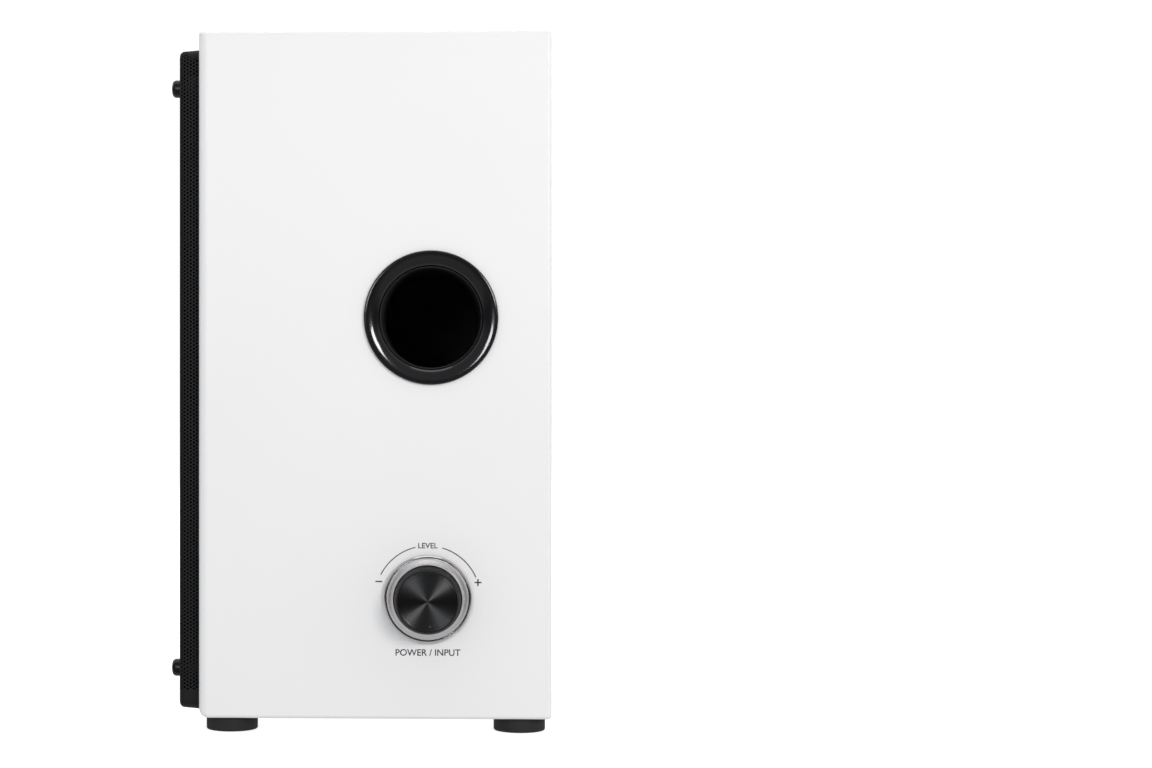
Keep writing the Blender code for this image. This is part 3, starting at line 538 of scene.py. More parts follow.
def set_camera():
    """A level camera beside the speaker, on a line through the middle of the cabinet."""
    data = bpy.data.cameras.new("camera")
    data.lens = LENS
    data.sensor_width = SENSOR
    data.shift_x = SHIFT_ACROSS
    data.shift_y = SHIFT_UP
    data.clip_end = 50.0
    camera = bpy.data.objects.new("camera", data)
    bpy.context.scene.collection.objects.link(camera)
    middle = Vector((LEFT_HIGH.x, MIDDLE_Y, (BOTTOM_LOW.z + TOP_HIGH.z) / 2)) * MM
    back = Vector((math.cos(CAMERA_TURN), math.sin(CAMERA_TURN), 0.0))
    camera.location = middle + back * CAMERA_AWAY
    camera.rotation_mode = "QUATERNION"
    camera.rotation_quaternion = (-back).to_track_quat("-Z", "Y")
    bpy.context.scene.camera = camera


def soft_box(name, place, size, power, target=(0.0, 0.0, 0.14), tint=(1.0, 1.0, 1.0)):
    """A rectangular studio light, in metres and watts, aimed at the speaker."""
    data = bpy.data.lights.new(name, "AREA")
    data.shape = "RECTANGLE"
    data.size, data.size_y = size
    data.energy = power
    data.color = tint
    light = bpy.data.objects.new(name, data)
    bpy.context.scene.collection.objects.link(light)
    light.location = place
    light.rotation_mode = "QUATERNION"
    light.rotation_quaternion = (Vector(target) - Vector(place)).to_track_quat("-Z", "Y")
    light.visible_camera = False


def set_lights():
    """Two soft boxes on the port's side, above the camera, and weaker ones round the rest."""
    soft_box("key_rear", (0.88, 0.45, 0.38), (0.26, 0.22), 3.4, tint=(1.0, 0.975, 0.94))
    soft_box("key_front", (1.48, -0.36, 0.36), (0.36, 0.2), 3.4, tint=(0.96, 0.975, 1.0))
    soft_box("overhead", (0.0, 0.0, 1.9), (1.4, 1.4), 6.0)
    soft_box("far_side", (-1.7, -0.4, 0.9), (1.0, 1.0), 10.0)
    soft_box("front_fill", (-0.55, -1.35, 1.05), (0.9, 0.9), 4.5)
    soft_box("rear_fill", (-0.5, 1.8, 0.8), (0.8, 0.8), 5.0)


def set_world():
    """A white studio: bright behind the speaker, softer in what it lights and in what it reflects."""
    world = bpy.data.worlds.new("studio")
    bpy.context.scene.world = world
    world.use_nodes = True
    nodes, links = world.node_tree.nodes, world.node_tree.links
    shown = nodes["Background"]
    shown.inputs["Color"].default_value = (1.0, 1.0, 1.0, 1.0)
    shown.inputs["Strength"].default_value = 1.1
    sky = (0.97, 0.98, 1.0, 1.0)
    lit = node(world, "ShaderNodeBackground", Color=sky, Strength=0.71)
    mirrored = node(world, "ShaderNodeBackground", [("Strength", mirrored_strength(world))], Color=sky)
    path = nodes.new("ShaderNodeLightPath")
    not_shown = node(world, "ShaderNodeMixShader", [
        (0, path.outputs["Is Glossy Ray"]), (1, lit.outputs[0]), (2, mirrored.outputs[0])])
    both = node(world, "ShaderNodeMixShader", [
        (0, path.outputs["Is Camera Ray"]), (1, not_shown.outputs[0]), (2, shown.outputs[0])])
    links.new(both.outputs[0], nodes["World Output"].inputs["Surface"])


def mirrored_strength(world):
    """How bright the studio looks in polished parts: white behind the speaker, dark at its own height."""
    direction = node(world, "ShaderNodeTexCoord").outputs["Generated"]
    parts = node(world, "ShaderNodeSeparateXYZ", [("Vector", direction)])
    behind = spread(world, parts.outputs["X"], 0.8, 0.24, start=-0.1, end=0.4)
    steep = node(world, "ShaderNodeMath", [(0, parts.outputs["Z"])])
    steep.operation = "ABSOLUTE"
    raised = spread(world, steep.outputs["Value"], 0.2, 1.0, start=0.08, end=0.35)
    both = node(world, "ShaderNodeMath", [(0, behind), (1, raised)])
    both.operation = "MULTIPLY"
    return both.outputs["Value"]


def set_floor():
    """A plain pale floor, bright enough to run into the white behind it."""
    mesh = bpy.data.meshes.new("floor")
    reach, level = 6.0, -0.0002
    corners = [(-reach, -reach, level), (reach, -reach, level), (reach, reach, level), (-reach, reach, level)]
    mesh.from_pydata(corners, [], [(0, 1, 2, 3)])
    floor = bpy.data.objects.new("floor", mesh)
    bpy.context.scene.collection.objects.link(floor)
    glow = {"Emission_Color": (1.0, 1.0, 1.0, 1.0), "Emission_Strength": 0.74}
    material = plain("floor", (0.6, 0.6, 0.6), 0.8, **glow)
    mesh.materials.append(material)
    floor.visible_glossy = False
    floor.visible_diffuse = False


# ---------------------------------------------------------------- cabinet


FRONT_ROUND, SMALL_ROUND, TOP_FRONT_ROUND = 4.0, 1.5, 0.8


def build_cabinet():
    """The four wrapped panels as the one seamless skin that the wrap makes of them, with its side holes."""
    low = Vector((RIGHT_LOW.x, TOP_LOW.y, BOTTOM_LOW.z))
    high = Vector((LEFT_HIGH.x, TOP_HIGH.y, TOP_HIGH.z))
    middle = (low + high) / 2
    corners = [(x, y, z) for x in (low.x, high.x) for y in (low.y, high.y) for z in (low.z, high.z)]
    faces = [(0, 1, 3, 2), (4, 6, 7, 5), (0, 4, 5, 1), (2, 3, 7, 6), (0, 2, 6, 4), (1, 5, 7, 3)]
    shell = mesh_object("cabinet_wrap", corners, faces)
    weights = shell.data.attributes.new("bevel_weight_edge", "FLOAT", "EDGE")
    for edge in shell.data.edges:
        ends = [shell.data.vertices[index].co / MM for index in edge.vertices]
        in_front = all(end.y < middle.y for end in ends)
        on_top = all(end.z > middle.z for end in ends)
        radius = SMALL_ROUND
        if in_front:
            radius = TOP_FRONT_ROUND if on_top else FRONT_ROUND
        weights.data[edge.index].value = radius / FRONT_ROUND
    bevel = shell.modifiers.new("rounds", "BEVEL")
    bevel.limit_method = "WEIGHT"
    bevel.width = FRONT_ROUND * MM
    bevel.segments = 8
    applied(shell)
    inside = (LEFT_LOW.x - RIGHT_HIGH.x, TOP_LOW.z - BOTTOM_HIGH.z)
    centre = ((LEFT_LOW.x + RIGHT_HIGH.x) / 2 - MIDDLE_X, (TOP_LOW.z + BOTTOM_HIGH.z) / 2)
    hollow = cutter(inside, 0.1, -200.0, 20.0, at(FRONT, *centre))
    port_hole = peg("port_hole", 25.0, -30.0, 10.0, on_face(SIDE, "port_flare"), 96)
    knob_hole = peg("knob_hole", 11.0, -30.0, 10.0, on_face(SIDE, "knob_cap"), 96)
    cut(shell, [hollow, port_hole, knob_hole])
    panels = ["cabinet_top_panel", "cabinet_bottom_panel", "cabinet_left_panel", "cabinet_right_panel"]
    with_flat_faces(finished(shell, "white_wrap", "cabinet", panels))


def build_port_shade_felt():
    """Near-black felt on the boards that the port looks at: painted shade, so that the port falls into
    darkness.
    """
    low, high = box_mm("port_tube")
    spot = at(SIDE, (low.y + high.y) / 2 - MIDDLE_Y, (low.z + high.z) / 2)
    inner = RIGHT_HIGH.x - LEFT_HIGH.x
    # painted shade: this near-black felt pad stands in for the darkness inside the cabinet behind the port
    pad = block("port_shade_felt", (48.0, 90.0), 6.0, inner + 0.3, inner + 9.0, 2.5, spot)
    finished(pad, "felt", "cabinet")


def build_gasket():
    """The thin black seal between the cabinet's face and the grille."""
    low, high = box_mm("grille_tray")
    size = (high.x - low.x - 1.6, high.z - low.z - 1.6)
    spot = at(FRONT, (low.x + high.x) / 2 - MIDDLE_X, (low.z + high.z) / 2)
    seal = block("grille_seal", size, 3.2, 0.0, 0.25, 0.05, spot)
    opening = at(FRONT, (LEFT_LOW.x + RIGHT_HIGH.x) / 2 - MIDDLE_X, (TOP_LOW.z + BOTTOM_HIGH.z) / 2)
    window_size = (LEFT_LOW.x - RIGHT_HIGH.x - 2.0, TOP_LOW.z - BOTTOM_HIGH.z - 2.0)
    window = cutter(window_size, 2.0, -1.0, 1.0, opening)
    cut(seal, [window])
    finished(seal, "rubber", "cabinet")


# ---------------------------------------------------------------- grille


HOLE = 0.52  # radius
SHEET = 0.8  # thickness
BEND = 2.0  # outer radius of the folded edge
DRAFT = 0.7  # how far the sides lean in
PLAN_CORNER = 4.0  # radius of the tray's corners where it meets the cabinet
RIM = 0.04  # least width of the edge beside the cells
SOLID_FOOT = 8.0  # the lowest part of the sides has no holes
GRILLE_BANDS = 8

GRILLE_LOW, GRILLE_HIGH = box_mm("grille_tray")
GRILLE_MIDDLE = (GRILLE_LOW + GRILLE_HIGH) / 2
GRILLE_DEPTH = GRILLE_HIGH.y - GRILLE_LOW.y
LEAN = math.atan(DRAFT / GRILLE_DEPTH)
FOLD = math.pi / 2 - LEAN  # how far the edge is bent
WALL = (GRILLE_DEPTH - BEND * (1 - math.cos(FOLD))) / math.sin(FOLD)
REACH = BEND * FOLD + WALL  # length of sheet outside the flat front
STEP_OUT = BEND * math.sin(FOLD) + WALL * math.cos(FOLD)
FLAT_HALF = np.array([GRILLE_HIGH.x - GRILLE_LOW.x, GRILLE_HIGH.z - GRILLE_LOW.z]) / 2 - STEP_OUT
FLAT_CORNER = PLAN_CORNER - STEP_OUT
COLUMN = (FLAT_HALF[0] + REACH - 0.95) / 66  # between columns of holes; the outermost is near the edge
PITCH = COLUMN * 2.0 / math.sqrt(3.0)  # from hole to hole


def outside_flat(points):
    """How far each point of the unfolded sheet lies outside the flat front, and in which direction."""
    beyond = np.abs(points) - (FLAT_HALF - FLAT_CORNER)
    outer = np.maximum(beyond, 0.0)
    length = np.linalg.norm(outer, axis=1)
    distance = np.where(length > 0, length, beyond.max(axis=1)) - FLAT_CORNER
    direction = np.sign(points) * outer / np.maximum(length, 1e-9)[:, None]
    return distance, direction


def folded(points, inside):
    """Points of the unfolded sheet where they lie once its edges are bent back, inside its outer skin."""
    distance, direction = outside_flat(points)
    beyond = np.maximum(distance, 0.0)
    angle = np.minimum(beyond / BEND, FOLD)
    straight = beyond - angle * BEND
    across = (BEND - inside) * np.sin(angle) + straight * np.cos(angle)
    drop = BEND - (BEND - inside) * np.cos(angle) + straight * np.sin(angle)
    flat = points + direction * (across - beyond)[:, None]
    return np.column_stack([flat[:, 0] + GRILLE_MIDDLE.x, drop + GRILLE_LOW.y, flat[:, 1] + GRILLE_MIDDLE.z])


def lattice():
    """Lattice places and centres of the hexagonal cells whose corners all lie on the sheet."""
    columns = int((FLAT_HALF[0] + REACH) / COLUMN) + 1
    rows = int((FLAT_HALF[1] + REACH) / PITCH) + 1
    place = np.array([(i, j) for i in range(-columns, columns + 1) for j in range(-rows, rows + 1)])
    centre = lattice_point(place)
    corners = (centre[:, None, :] + SPOKES * PITCH / math.sqrt(3.0)).reshape(-1, 2)
    far = outside_flat(corners)[0].reshape(-1, 6).max(axis=1)
    chosen = far < REACH - RIM
    return place[chosen], centre[chosen]


def lattice_point(place):
    """Where cell (column, row) is on the unfolded sheet."""
    return np.column_stack([place[:, 0] * COLUMN, (place[:, 1] + 0.5 * (place[:, 0] % 2)) * PITCH])


SPOKES = np.array([(math.cos(math.radians(60 * k)), math.sin(math.radians(60 * k))) for k in range(6)])


def pierced(centre):
    """Which cells have a hole: not the lowest on the sides, nor those squeezed shut in the corners."""
    distance, direction = outside_flat(centre)
    low = folded(centre, 0.0)[:, 2] < GRILLE_LOW.z + SOLID_FOOT
    squeezed = (np.abs(direction).min(axis=1) > 0.1) & (distance > 0.55 * REACH)
    return ~((distance > 0.5) & low) & ~squeezed


def outline_points():
    """The unfolded sheet's edge, a point every few millimetres."""
    corner = FLAT_CORNER + REACH
    size = (FLAT_HALF + REACH) * 2
    rough = round_rectangle(size[0], size[1], corner, 24)
    points = []
    for index, start in enumerate(rough):
        end = rough[(index + 1) % len(rough)]
        gap = math.dist(start, end)
        parts = max(1, round(gap / 3.0))
        points += [(start[0] + (end[0] - start[0]) * k / parts, start[1] + (end[1] - start[1]) * k / parts)
                   for k in range(parts) if gap > 1e-6]
    return points


def margin(corner_points, edges, cells):
    """Triangles between the cells' ragged edge and the sheet's outline, and the outline's points."""
    used = sorted({index for edge in edges for index in edge})
    number = {index: k for k, index in enumerate(used)}
    border = outline_points()
    spots = [Vector(corner_points[index]) for index in used] + [Vector(p) for p in border]
    first = len(used)
    count = len(border)
    links = [(number[a], number[b]) for a, b in edges]
    links += [(first + k, first + (k + 1) % count) for k in range(count)]
    triangles = delaunay_2d_cdt(spots, links, [], 0, 1e-7)
    points, faces, origins = triangles[0], triangles[2], triangles[3]
    middles = np.array([[sum(points[i][axis] for i in face) / 3 for axis in (0, 1)] for face in faces])
    inside = outside_flat(middles)[0] < REACH
    kept = []
    for face, middle, held in zip(faces, middles, inside):
        if held and not in_cells(middle, cells):
            kept.append([origins[i][0] for i in face])
    return used, border, kept


def in_cells(point, cells):
    """True if the nearest cell of the lattice is one of those made."""
    column = round(point[0] / COLUMN)
    near = []
    for i in (column - 1, column, column + 1):
        j = round(point[1] / PITCH - 0.5 * (i % 2))
        spot = (i * COLUMN, (j + 0.5 * (i % 2)) * PITCH)
        near.append((math.dist(spot, point), (i, j)))
    return min(near)[1] in cells


def sheet_faces():
    """The whole pierced sheet, unfolded: its points, cells, holes, edge triangles and outline."""
    place, centre = lattice()
    open_cell = pierced(centre)
    spots = (centre[:, None, :] + SPOKES * PITCH / math.sqrt(3.0)).reshape(-1, 2)
    keys, index = np.unique(np.round(spots * 1000).astype(int), axis=0, return_inverse=True)
    corner_points = np.zeros((len(keys), 2))
    corner_points[index.ravel()] = spots
    ring = index.reshape(-1, 6)
    holes = (centre[open_cell][:, None, :] + SPOKES * HOLE).reshape(-1, 2)
    hole_index = -np.ones((len(centre), 6), int)
    hole_index[open_cell] = len(corner_points) + np.arange(len(holes)).reshape(-1, 6)
    sides = np.sort(np.stack([ring, np.roll(ring, -1, axis=1)], axis=2).reshape(-1, 2), axis=1)
    pairs, counts = np.unique(sides, axis=0, return_counts=True)
    ragged = [tuple(pair) for pair in pairs[counts == 1].tolist()]
    used, border, extra = margin(corner_points, ragged, set(map(tuple, place.tolist())))
    first = len(corner_points) + len(holes)
    points = np.vstack([corner_points, holes, np.array(border)])
    real = used + [first + k for k in range(len(border))]
    return points, ring, hole_index, [[real[i] for i in face] for face in extra], first, len(border)


def build_grille():
    """The pierced steel grille, in bands so that no piece is too heavy."""
    points, ring, holes, extra, first, border = sheet_faces()
    count = len(points)
    skins = np.vstack([folded(points, 0.0), folded(points, SHEET)])
    faces, levels = [], []
    for corners, hole in zip(ring.tolist(), holes.tolist()):
        level = skins[corners[0], 2]
        if hole[0] < 0:
            cell = [corners, [c + count for c in reversed(corners)]]
        else:
            cell = []
            for k in range(6):
                n = (k + 1) % 6
                cell.append([corners[k], corners[n], hole[n], hole[k]])
                cell.append([hole[k] + count, hole[n] + count, corners[n] + count, corners[k] + count])
                cell.append([hole[k], hole[n], hole[n] + count, hole[k] + count])
        faces += cell
        levels += [level] * len(cell)
    for face in extra:
        faces += [face, [i + count for i in reversed(face)]]
        levels += [skins[face[0], 2]] * 2
    for k in range(border):
        n = (k + 1) % border
        faces.append([first + k, first + n, first + n + count, first + k + count])
        levels.append(skins[first + k, 2])
    band = (np.array(levels) - GRILLE_LOW.z) / (GRILLE_HIGH.z - GRILLE_LOW.z) * GRILLE_BANDS
    band = np.clip(band.astype(int), 0, GRILLE_BANDS - 1)
    for number in range(GRILLE_BANDS):
        chosen = [face for face, b in zip(faces, band) if b == number]
        make_band(f"grille_sheet_{number + 1}", skins, chosen, number == 0)


def make_band(name, skins, faces, first_band):
    """One band of the grille as a piece of its own."""
    flat = np.concatenate([np.array(face) for face in faces])
    used, index = np.unique(flat, return_inverse=True)
    ends = np.cumsum([len(face) for face in faces])
    renumbered = [part.tolist() for part in np.split(index.ravel(), ends[:-1])]
    mesh = bpy.data.meshes.new(name)
    mesh.from_pydata((skins[used] * MM).tolist(), [], renumbered)
    made = bpy.data.objects.new(name, mesh)
    bpy.context.scene.collection.objects.link(made)
    finished(made, "powder_coat", "cabinet", ["grille_tray"] if first_band else [], 50.0)


# ---------------------------------------------------------------- feet and screws


def build_feet():
    """Four turned rubber feet, their lower edge slightly bevelled."""
    for name in ("front_left", "front_right", "rear_left", "rear_right"):
        low, high = box_mm(f"foot_{name}")
        radius = (high.x - low.x) / 2
        tall = high.z - low.z
        profile = [(0.0, 0.0), (radius - 0.3, 0.0), (radius, 0.45), (radius, tall), (0.0, tall)]
        spot = Matrix.Translation(((low.x + high.x) / 2, (low.y + high.y) / 2, low.z))
        foot = turned(f"foot_pad_{name}", softened(profile, 0.12), spot, 72)
        finished(foot, "rubber", "cabinet", [f"foot_{name}"])


def cross_slot(size, deep, top, place):
    """Two cutters for a cross recess."""
    wide = cutter((size, size * 0.24), 0.05, top - deep, top + 2.0, place)
    tall = cutter((size * 0.24, size), 0.05, top - deep, top + 2.0, place)
    return [wide, tall]


HEAD_RADIUS, HEAD_HEIGHT, HEAD_ROUND = 3.65, 4.5, 1.7


def build_grille_screws():
    """Black screws with high rounded heads and a hexagon socket."""
    for name in ("upper_left", "upper_right", "lower_left", "lower_right"):
        node_name = f"grille_screw_{name}"
        low, high = box_mm(node_name)
        top = TOP_LOW.y - low.y
        base = top - HEAD_HEIGHT
        rounding = arc((HEAD_RADIUS - HEAD_ROUND, top - HEAD_ROUND - 0.2), HEAD_ROUND, 0, 82, 10)
        dome = [(HEAD_RADIUS, base)] + rounding
        profile = [(0.0, base)] + dome + [(1.0, top - 0.02), (0.0, top)]
        spot = on_face(FRONT, node_name)
        head = turned(f"grille_cap_{name}", profile, spot, 72)
        socket = peg("socket", 1.45, top - 1.6, top + 1.0, spot, 6)
        cut(head, [socket])
        shank_profile = [(0.0, base - 8.0), (1.4, base - 7.0), (1.5, base - 0.05), (0.0, base - 0.05)]
        shank = turned(f"grille_shank_{name}", softened(shank_profile, 0.3), spot, 32)
        finished(head, "black_screw", "cabinet", [node_name])
        finished(shank, "black_screw", "cabinet")


def build_small_screw(node_name, radius, face):
    """A pan head with a cross recess over a CAD screw."""
    local = [face.inverted() @ corner for corner in box_mm(node_name)]
    top = max(local[0].z, local[1].z)
    base = top - 1.6
    spot = on_face(face, node_name)
    profile = [(0.0, base), (radius, base), (radius, base + 0.7), (radius * 0.75, top - 0.15), (0.0, top)]
    head = turned(f"{node_name}_head", softened(profile, 0.5), spot, 48)
    cut(head, cross_slot(radius * 1.15, 0.8, top, spot))
    finished(head, "black_screw", "cabinet", [node_name])


# ---------------------------------------------------------------- port


def build_port():
    """The polished flare, its neck and the duct behind it."""
    spot = on_face(SIDE, "port_flare")
    lip = arc((26.5, 0.9), 0.85, 0, 88, 10)
    outside = [(23.7, -19.0), (23.7, -0.1), (27.2, -0.05), (27.35, 0.1)]
    profile = outside + lip + bell_curve() + [(20.6, -19.0)]
    flare = turned("port_flare_ring", profile, spot, 192)
    finished(flare, "gloss_black", "cabinet", ["port_flare"], 50.0)
    sleeve = [(20.45, -19.0), (20.45, -1.6), (20.75, -1.15), (20.95, -1.5), (20.75, -19.0)]
    finished(turned("port_neck", sleeve, spot, 160), "duct_black", "cabinet")
    duct_profile = [(20.6, -105.0), (22.6, -105.0), (22.6, -19.3), (20.6, -19.3)]
    duct = turned("port_duct_tube", softened(duct_profile, 0.5), spot, 96)
    finished(duct, "duct_black", "cabinet", ["port_tube"])


def bell_curve():
    """The flare's inner surface: a wide round from its crest to a lip, and the neck behind the lip."""
    crest, top, radius = 26.5, 1.75, 7.6
    curve = arc((crest, top - radius), radius, 90, 133, 28)
    lip_radius, lip_height = curve[-1]
    curve.append((lip_radius - 0.2, lip_height - 0.4))
    return curve + [(20.85, lip_height - 1.4), (20.7, lip_height - 4.0), (20.6, lip_height - 8.0)]


# ---------------------------------------------------------------- knob


RIBS = 200


def ribbed(name, profile, ribs, place):
    """A turned skirt whose (radius, height, depth) points carry fine ribs of that depth."""
    steps = ribs * 4
    angles = np.linspace(0.0, FULL_TURN, steps, endpoint=False)
    points = []
    for radius, height, depth in profile:
        for index, angle in enumerate(angles):
            lift = depth * (0.0, 0.5, 1.0, 0.5)[index % 4]
            spot = radius - lift * 0.7
            points.append((spot * math.cos(angle), spot * math.sin(angle), height - lift * 0.7))
    return mesh_object(name, points, turned_faces(len(profile), steps), place)


def build_knob():
    """The volume knob: a fixed bezel, a bright ribbed skirt and a black cap with a spun face."""
    spot = on_face(SIDE, "knob_cap")
    cup = [(10.2, -5.0), (10.7, -5.0), (10.7, 0.1), (17.5, 0.1), (17.6, 0.5), (17.2, 0.95), (10.9, 1.0),
           (10.2, 0.6)]
    web = [(0.0, -5.0), (10.4, -5.0), (10.4, -3.2), (3.6, -3.2), (3.6, -3.6), (0.0, -3.6)]
    bezel = turned("knob_bezel_ring", softened(cup, 0.2), spot, 144)
    finished(bezel, "matte_black", "cabinet", ["knob_bezel"])
    web_piece = turned("knob_well", softened(web, 0.2), spot, 96)
    finished(web_piece, "matte_black", "cabinet")
    skirt_profile = [
        (13.75, 2.0, 0.0), (17.7, 2.0, 0.0), (17.85, 2.05, 0.0), (17.9, 2.2, 0.0), (17.9, 2.5, 0.0),
        (17.85, 2.6, 0.0), (17.15, 3.15, 0.0), (17.05, 3.1, 0.0), (17.0, 2.8, 0.0), (16.88, 2.75, 0.0),
        (16.8, 3.0, 0.0), (16.75, 3.2, 0.09), (15.5, 4.3, 0.09), (14.15, 5.55, 0.09), (14.05, 5.65, 0.0),
        (13.9, 5.65, 0.0), (13.75, 5.5, 0.0)]
    skirt = ribbed("knob_skirt_ring", skirt_profile, RIBS, spot)
    finished(skirt, "chrome", "volume_knob", ["knob_skirt"], 40.0)
    wall = [(0.0, 2.2), (13.55, 2.2), (13.6, 2.6), (13.6, 9.0), (13.0, 13.0), (12.5, 14.35), (12.3, 14.7),
            (12.2, 14.85), (12.1, 14.85), (12.0, 14.75), (12.0, 14.5), (0.0, 14.5)]
    cap = turned("knob_cap_wall", softened(wall, 0.12), spot, 192)
    finished(cap, "soft_black", "volume_knob", ["knob_cap"])
    face = turned("knob_cap_face", face_profile(), spot, 192)
    cut(face, [peg("dimple", 0.32, 14.6, 16.0, at(spot, 1.1, -9.9), 24)])
    finished(face, "spun_black", "volume_knob")
    dot = turned("knob_mark", [(0.0, 14.5), (0.3, 14.5), (0.3, 14.72), (0.0, 14.74)], at(spot, 1.1, -9.9), 24)
    finished(dot, "mark", "volume_knob")


def face_profile():
    """The spun disc in the cap's end: a shallow dish inside a narrow raised ring."""
    flat = [(radius, 14.8) for radius in (11.1, 11.0, 9.0, 6.0, 3.0, 0.0)]
    return [(0.0, 14.45), (11.95, 14.45), (11.95, 14.85), (11.85, 14.98), (11.7, 15.0), (11.35, 14.98),
            (11.25, 14.86)] + flat


def arc_stroke(name, radius, width, start, end, place):
    """A printed arc on a face, its angles in degrees."""
    outer = arc((0.0, 0.0), radius + width / 2, start, end, 48)
    inner = arc((0.0, 0.0), radius - width / 2, end, start, 48)
    printed(name, outer + inner, place)


def printed(name, outline, place):
    """A flat printed shape on the cabinet."""
    finished(bent(name, outline, 0.0, PRINT, place), "ink", "cabinet")


def build_legends():
    """Printing round the volume knob."""
    spot = on_face(SIDE, "knob_cap")
    arc_stroke("legend_arc_less", 21.4, 0.42, 103.5, 153.0, spot)
    arc_stroke("legend_arc_more", 21.4, 0.42, 24.0, 74.0, spot)
    level = [(-1.4, -0.28), (1.4, -0.28), (1.4, 0.28), (-1.4, 0.28)]
    upright = [(y, x) for x, y in reversed(level)]
    printed("legend_less", level, at(spot, -19.9, 6.9))
    printed("legend_more", level, at(spot, 20.4, 6.6))
    printed("legend_more_upright", upright, at(spot, 20.4, 6.6))
    lettering("legend_volume", "LEVEL", 2.2, at(spot, 0.0, 21.4), "ink")
    lettering("legend_power", "POWER / INPUT", 2.6, at(spot, 0.0, -22.1), "ink")


# ---------------------------------------------------------------- drivers


def build_woofer():
    """The bass driver seen through the grille: frame, rolled surround, paper cone and dust cap."""
    spot = on_face(FRONT, "woofer_cone")
    rim = [(62.0, -3.3), (62.0, -0.6), (61.4, -0.3), (56.2, -0.3), (55.9, -0.9), (52.0, -0.9)]
    basket = [(51.6, -1.6), (49.4, -8.0), (30.5, -38.0), (30.5, -40.0), (33.0, -40.0), (52.0, -9.0)]
    frame_profile = rim + basket
    ring = turned("woofer_frame_ring", frame_profile, spot, 120)
    finished(ring, "matte_black", "cabinet", ["woofer_basket"])
    build_surround(spot)
    cone_profile = [(13.5, -21.0), (14.4, -21.4)]
    for step in range(13):
        t = step / 12
        cone_profile.append((14.4 + 31.2 * t, -20.9 + 19.9 * t ** 0.82))
    for step in range(13):
        t = 1 - step / 12
        cone_profile.append((14.0 + 31.2 * t, -20.2 + 19.9 * t ** 0.82))
    cone = turned("woofer_cone_paper", cone_profile, spot, 144)
    finished(cone, "paper", "woofer_cone", ["woofer_cone"])
    cap_profile = domed(16.0, 6.0, -18.6) + domed(16.0, 6.0, -18.0)[::-1]
    cap = turned("woofer_dust_dome", cap_profile, spot, 96)
    finished(cap, "matte_black", "woofer_cone", ["woofer_dust_cap"])


def domed(radius, rise, foot):
    """A dome's profile, from its top down to its foot."""
    angles = [math.pi / 2 * step / 12 for step in range(1, 13)]
    return [(0.0, foot + rise)] + [(radius * math.sin(a), foot + rise * math.cos(a)) for a in angles]


def build_surround(spot):
    """The rubber roll in two halves, its outer and its inner lip, each taken off its body."""
    crest, radius, thick = 49.6, 4.6, 0.6
    halves = {"outer": (0.0, 90.0, 55.2), "inner": (90.0, 180.0, 44.1)}
    for name, (start, end, lip) in halves.items():
        over = arc((crest, 0.5), radius, start, end, 14)
        under = arc((crest, 0.5), radius - thick, end, start, 14)
        if name == "outer":
            profile = [(lip, 0.0), (lip, 0.5)] + over + under + [(crest + radius - thick, 0.0)]
        else:
            profile = over + [(lip, 0.5), (lip, 0.0), (crest - radius + thick, 0.0)] + under
        roll = turned(f"woofer_roll_{name}", profile, spot, 144)
        finished(roll, "rubber", "cabinet", ["woofer_surround"] if name == "outer" else [])
        release(roll)
        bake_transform(roll)


def release(made):
    """Takes a piece off its body."""
    made.parent = None
    made.matrix_world = Matrix.Identity(4)
    del made["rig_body"]


def build_tweeter():
    """The treble driver: a faceplate with a shallow horn, and a silk dome."""
    spot = on_face(FRONT, "tweeter_faceplate")
    plate_profile = [
        (15.2, -2.9), (40.0, -2.9), (40.0, -0.6), (39.6, -0.25), (31.0, -0.2), (30.4, -0.45),
        (29.8, -0.2), (28.0, -0.2), (24.0, -0.75), (20.0, -1.6), (17.0, -2.4), (15.2, -2.75)]
    plate = turned("tweeter_plate", plate_profile, spot, 144)
    finished(plate, "matte_black", "cabinet", ["tweeter_faceplate"])
    lip = [(14.6, -5.2), (14.6, -4.6), (13.6, -4.2)]
    dome_profile = domed(12.8, 4.0, -5.3) + lip + domed(12.8, 4.0, -5.0)[::-1]
    dome = turned("tweeter_silk", dome_profile, spot, 96)
    finished(dome, "silk", "tweeter_dome", ["tweeter_dome"])


def build_driver_screws():
    """The drivers' cross-head screws."""
    for name in ("upper_left", "upper_right", "lower_left", "lower_right"):
        build_small_screw(f"woofer_screw_{name}", 3.2, FRONT)
    for name in ("left", "right"):
        build_small_screw(f"tweeter_screw_{name}", 2.6, FRONT)


# ---------------------------------------------------------------- rear


def build_rear():
    """The amplifier's painted plate, its screws and its printing."""
    low, high = box_mm("amplifier_plate")
    spot = on_face(REAR, "amplifier_plate")
    top = high.y - REAR_FACE
    size = (high.x - low.x, high.z - low.z)
    plate = block("amplifier_cover", size, 3.0, low.y - REAR_FACE, top, 0.5, spot)
    opening = {"power_switch_frame": (15.2, 21.2, 1.0), "mains_inlet": (26.2, 17.2, 3.0),
               "terminal_block": (32.4, 30.4, 1.0)}
    cutters = [cutter((w, h), c, -5.0, 8.0, on_face(REAR, name)) for name, (w, h, c) in opening.items()]
    cutters += [peg("jack_hole", 4.9, -5.0, 8.0, on_face(REAR, f"input_jack_{c}")) for c in ("red", "white")]
    cut(plate, cutters)
    finished(plate, "painted_plate", "cabinet", ["amplifier_plate"])
    for name in ("upper_left", "upper_right", "lower_left", "lower_right"):
        build_small_screw(f"amplifier_screw_{name}", 3.1, REAR)
    print_rear(top)


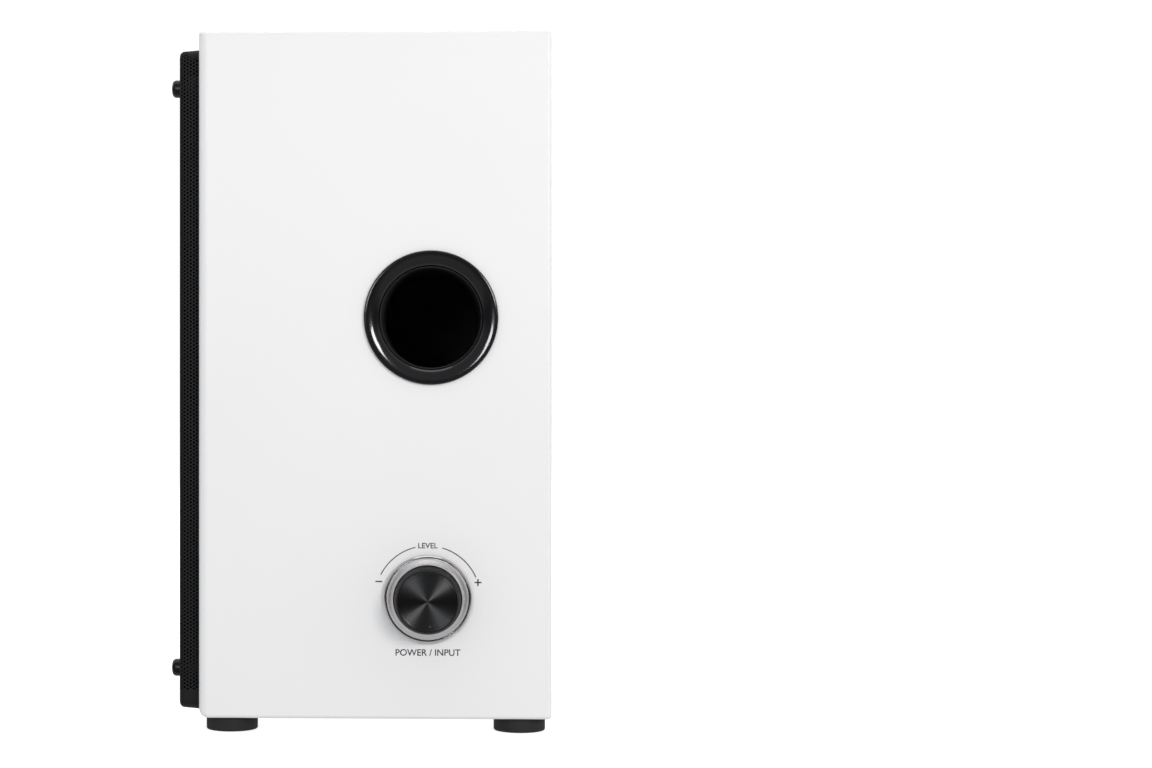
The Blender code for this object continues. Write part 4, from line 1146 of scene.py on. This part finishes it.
def print_rear(level):
    """Generic printing on the amplifier plate."""
    raised = REAR @ Matrix.Translation((0.0, 0.0, level))
    labels = {
        "label_input": ("INPUT", 2.2, "input_jack_white", (0.0, 10.5)),
        "label_left": ("L", 2.2, "input_jack_white", (9.5, 0.0)),
        "label_right": ("R", 2.2, "input_jack_red", (9.5, 0.0)),
        "label_output": ("OUTPUT", 2.2, "terminal_block", (0.0, 20.5)),
        "label_power": ("POWER", 2.2, "power_switch_frame", (0.0, 15.5)),
        "label_mains": ("AC IN", 2.2, "mains_inlet", (0.0, 13.5)),
    }
    for name, (text, height, node_name, (dx, dy)) in labels.items():
        local = REAR.inverted() @ centre_mm(node_name)
        lettering(name, text, height, at(raised, local.x + dx, local.y + dy), "pale_ink")


def build_jacks():
    """Two phono sockets: a coloured ring round a bright sleeve with a dark bore."""
    for color in ("red", "white"):
        spot = on_face(REAR, f"input_jack_{color}")
        low, high = box_mm(f"input_jack_{color}")
        top = high.y - REAR_FACE
        sleeve = [(0.0, -6.0), (4.2, -6.0), (4.2, 2.6), (4.15, top - 0.4), (3.9, top), (3.5, top),
                  (3.4, top - 0.3), (3.4, top - 7.0), (0.0, top - 7.0)]
        piece = turned(f"jack_sleeve_{color}", softened(sleeve, 0.15), spot, 72)
        finished(piece, "gold", "cabinet", [f"input_jack_{color}"])
        ring = [(4.25, 2.0), (7.2, 2.0), (7.2, 3.4), (6.7, 4.2), (4.25, 4.2)]
        insulator = turned(f"jack_ring_{color}", softened(ring, 0.5), spot, 72)
        finished(insulator, f"{color}_plastic", "cabinet")
        core = [(1.7, top - 7.0), (3.35, top - 7.0), (3.35, top - 1.2), (3.1, top - 0.9), (1.9, top - 0.9),
                (1.7, top - 1.1)]
        inner = turned(f"jack_core_{color}", softened(core, 0.1), spot, 48)
        finished(inner, f"{color}_plastic", "cabinet")


def build_terminals():
    """The spring terminals: a red and a black lever in a black block, with softer edges."""
    own_look(bpy.data.objects["terminal_block"], "matte_black")
    for color, look in (("red", "red_plastic"), ("black", "matte_black")):
        own_look(bpy.data.objects[f"terminal_lever_{color}"], look)


def own_look(made, look):
    """Gives a carried-over CAD part its material, and soft edges."""
    made.data.materials.clear()
    made.data.materials.append(LOOKS[look])
    weld = made.modifiers.new("weld", "WELD")
    weld.merge_threshold = 0.001 * MM
    bevel = made.modifiers.new("edges", "BEVEL")
    bevel.width = 0.25 * MM
    bevel.segments = 2
    bevel.limit_method = "ANGLE"
    bevel.angle_limit = math.radians(40)
    with_flat_faces(made)


# ---------------------------------------------------------------- carried-over parts


def dress_cad_parts():
    """The CAD parts that stay in view take the finish that the record names for them."""
    for part in frame["nodes"].values():
        if part.hide_render or not part.data.materials:
            continue
        finish = part.data.materials[0].name.split(".")[0]
        if finish in LOOKS:
            own_look(part, finish)


set_camera()
set_lights()
set_world()
set_floor()
bpy.context.scene.view_settings.view_transform = "Standard"

build_cabinet()
build_port_shade_felt()
build_gasket()
build_grille()
build_feet()
build_grille_screws()
build_port()
build_knob()
build_legends()
build_woofer()
build_tweeter()
build_driver_screws()
build_rear()
build_jacks()
dress_cad_parts()
build_terminals()
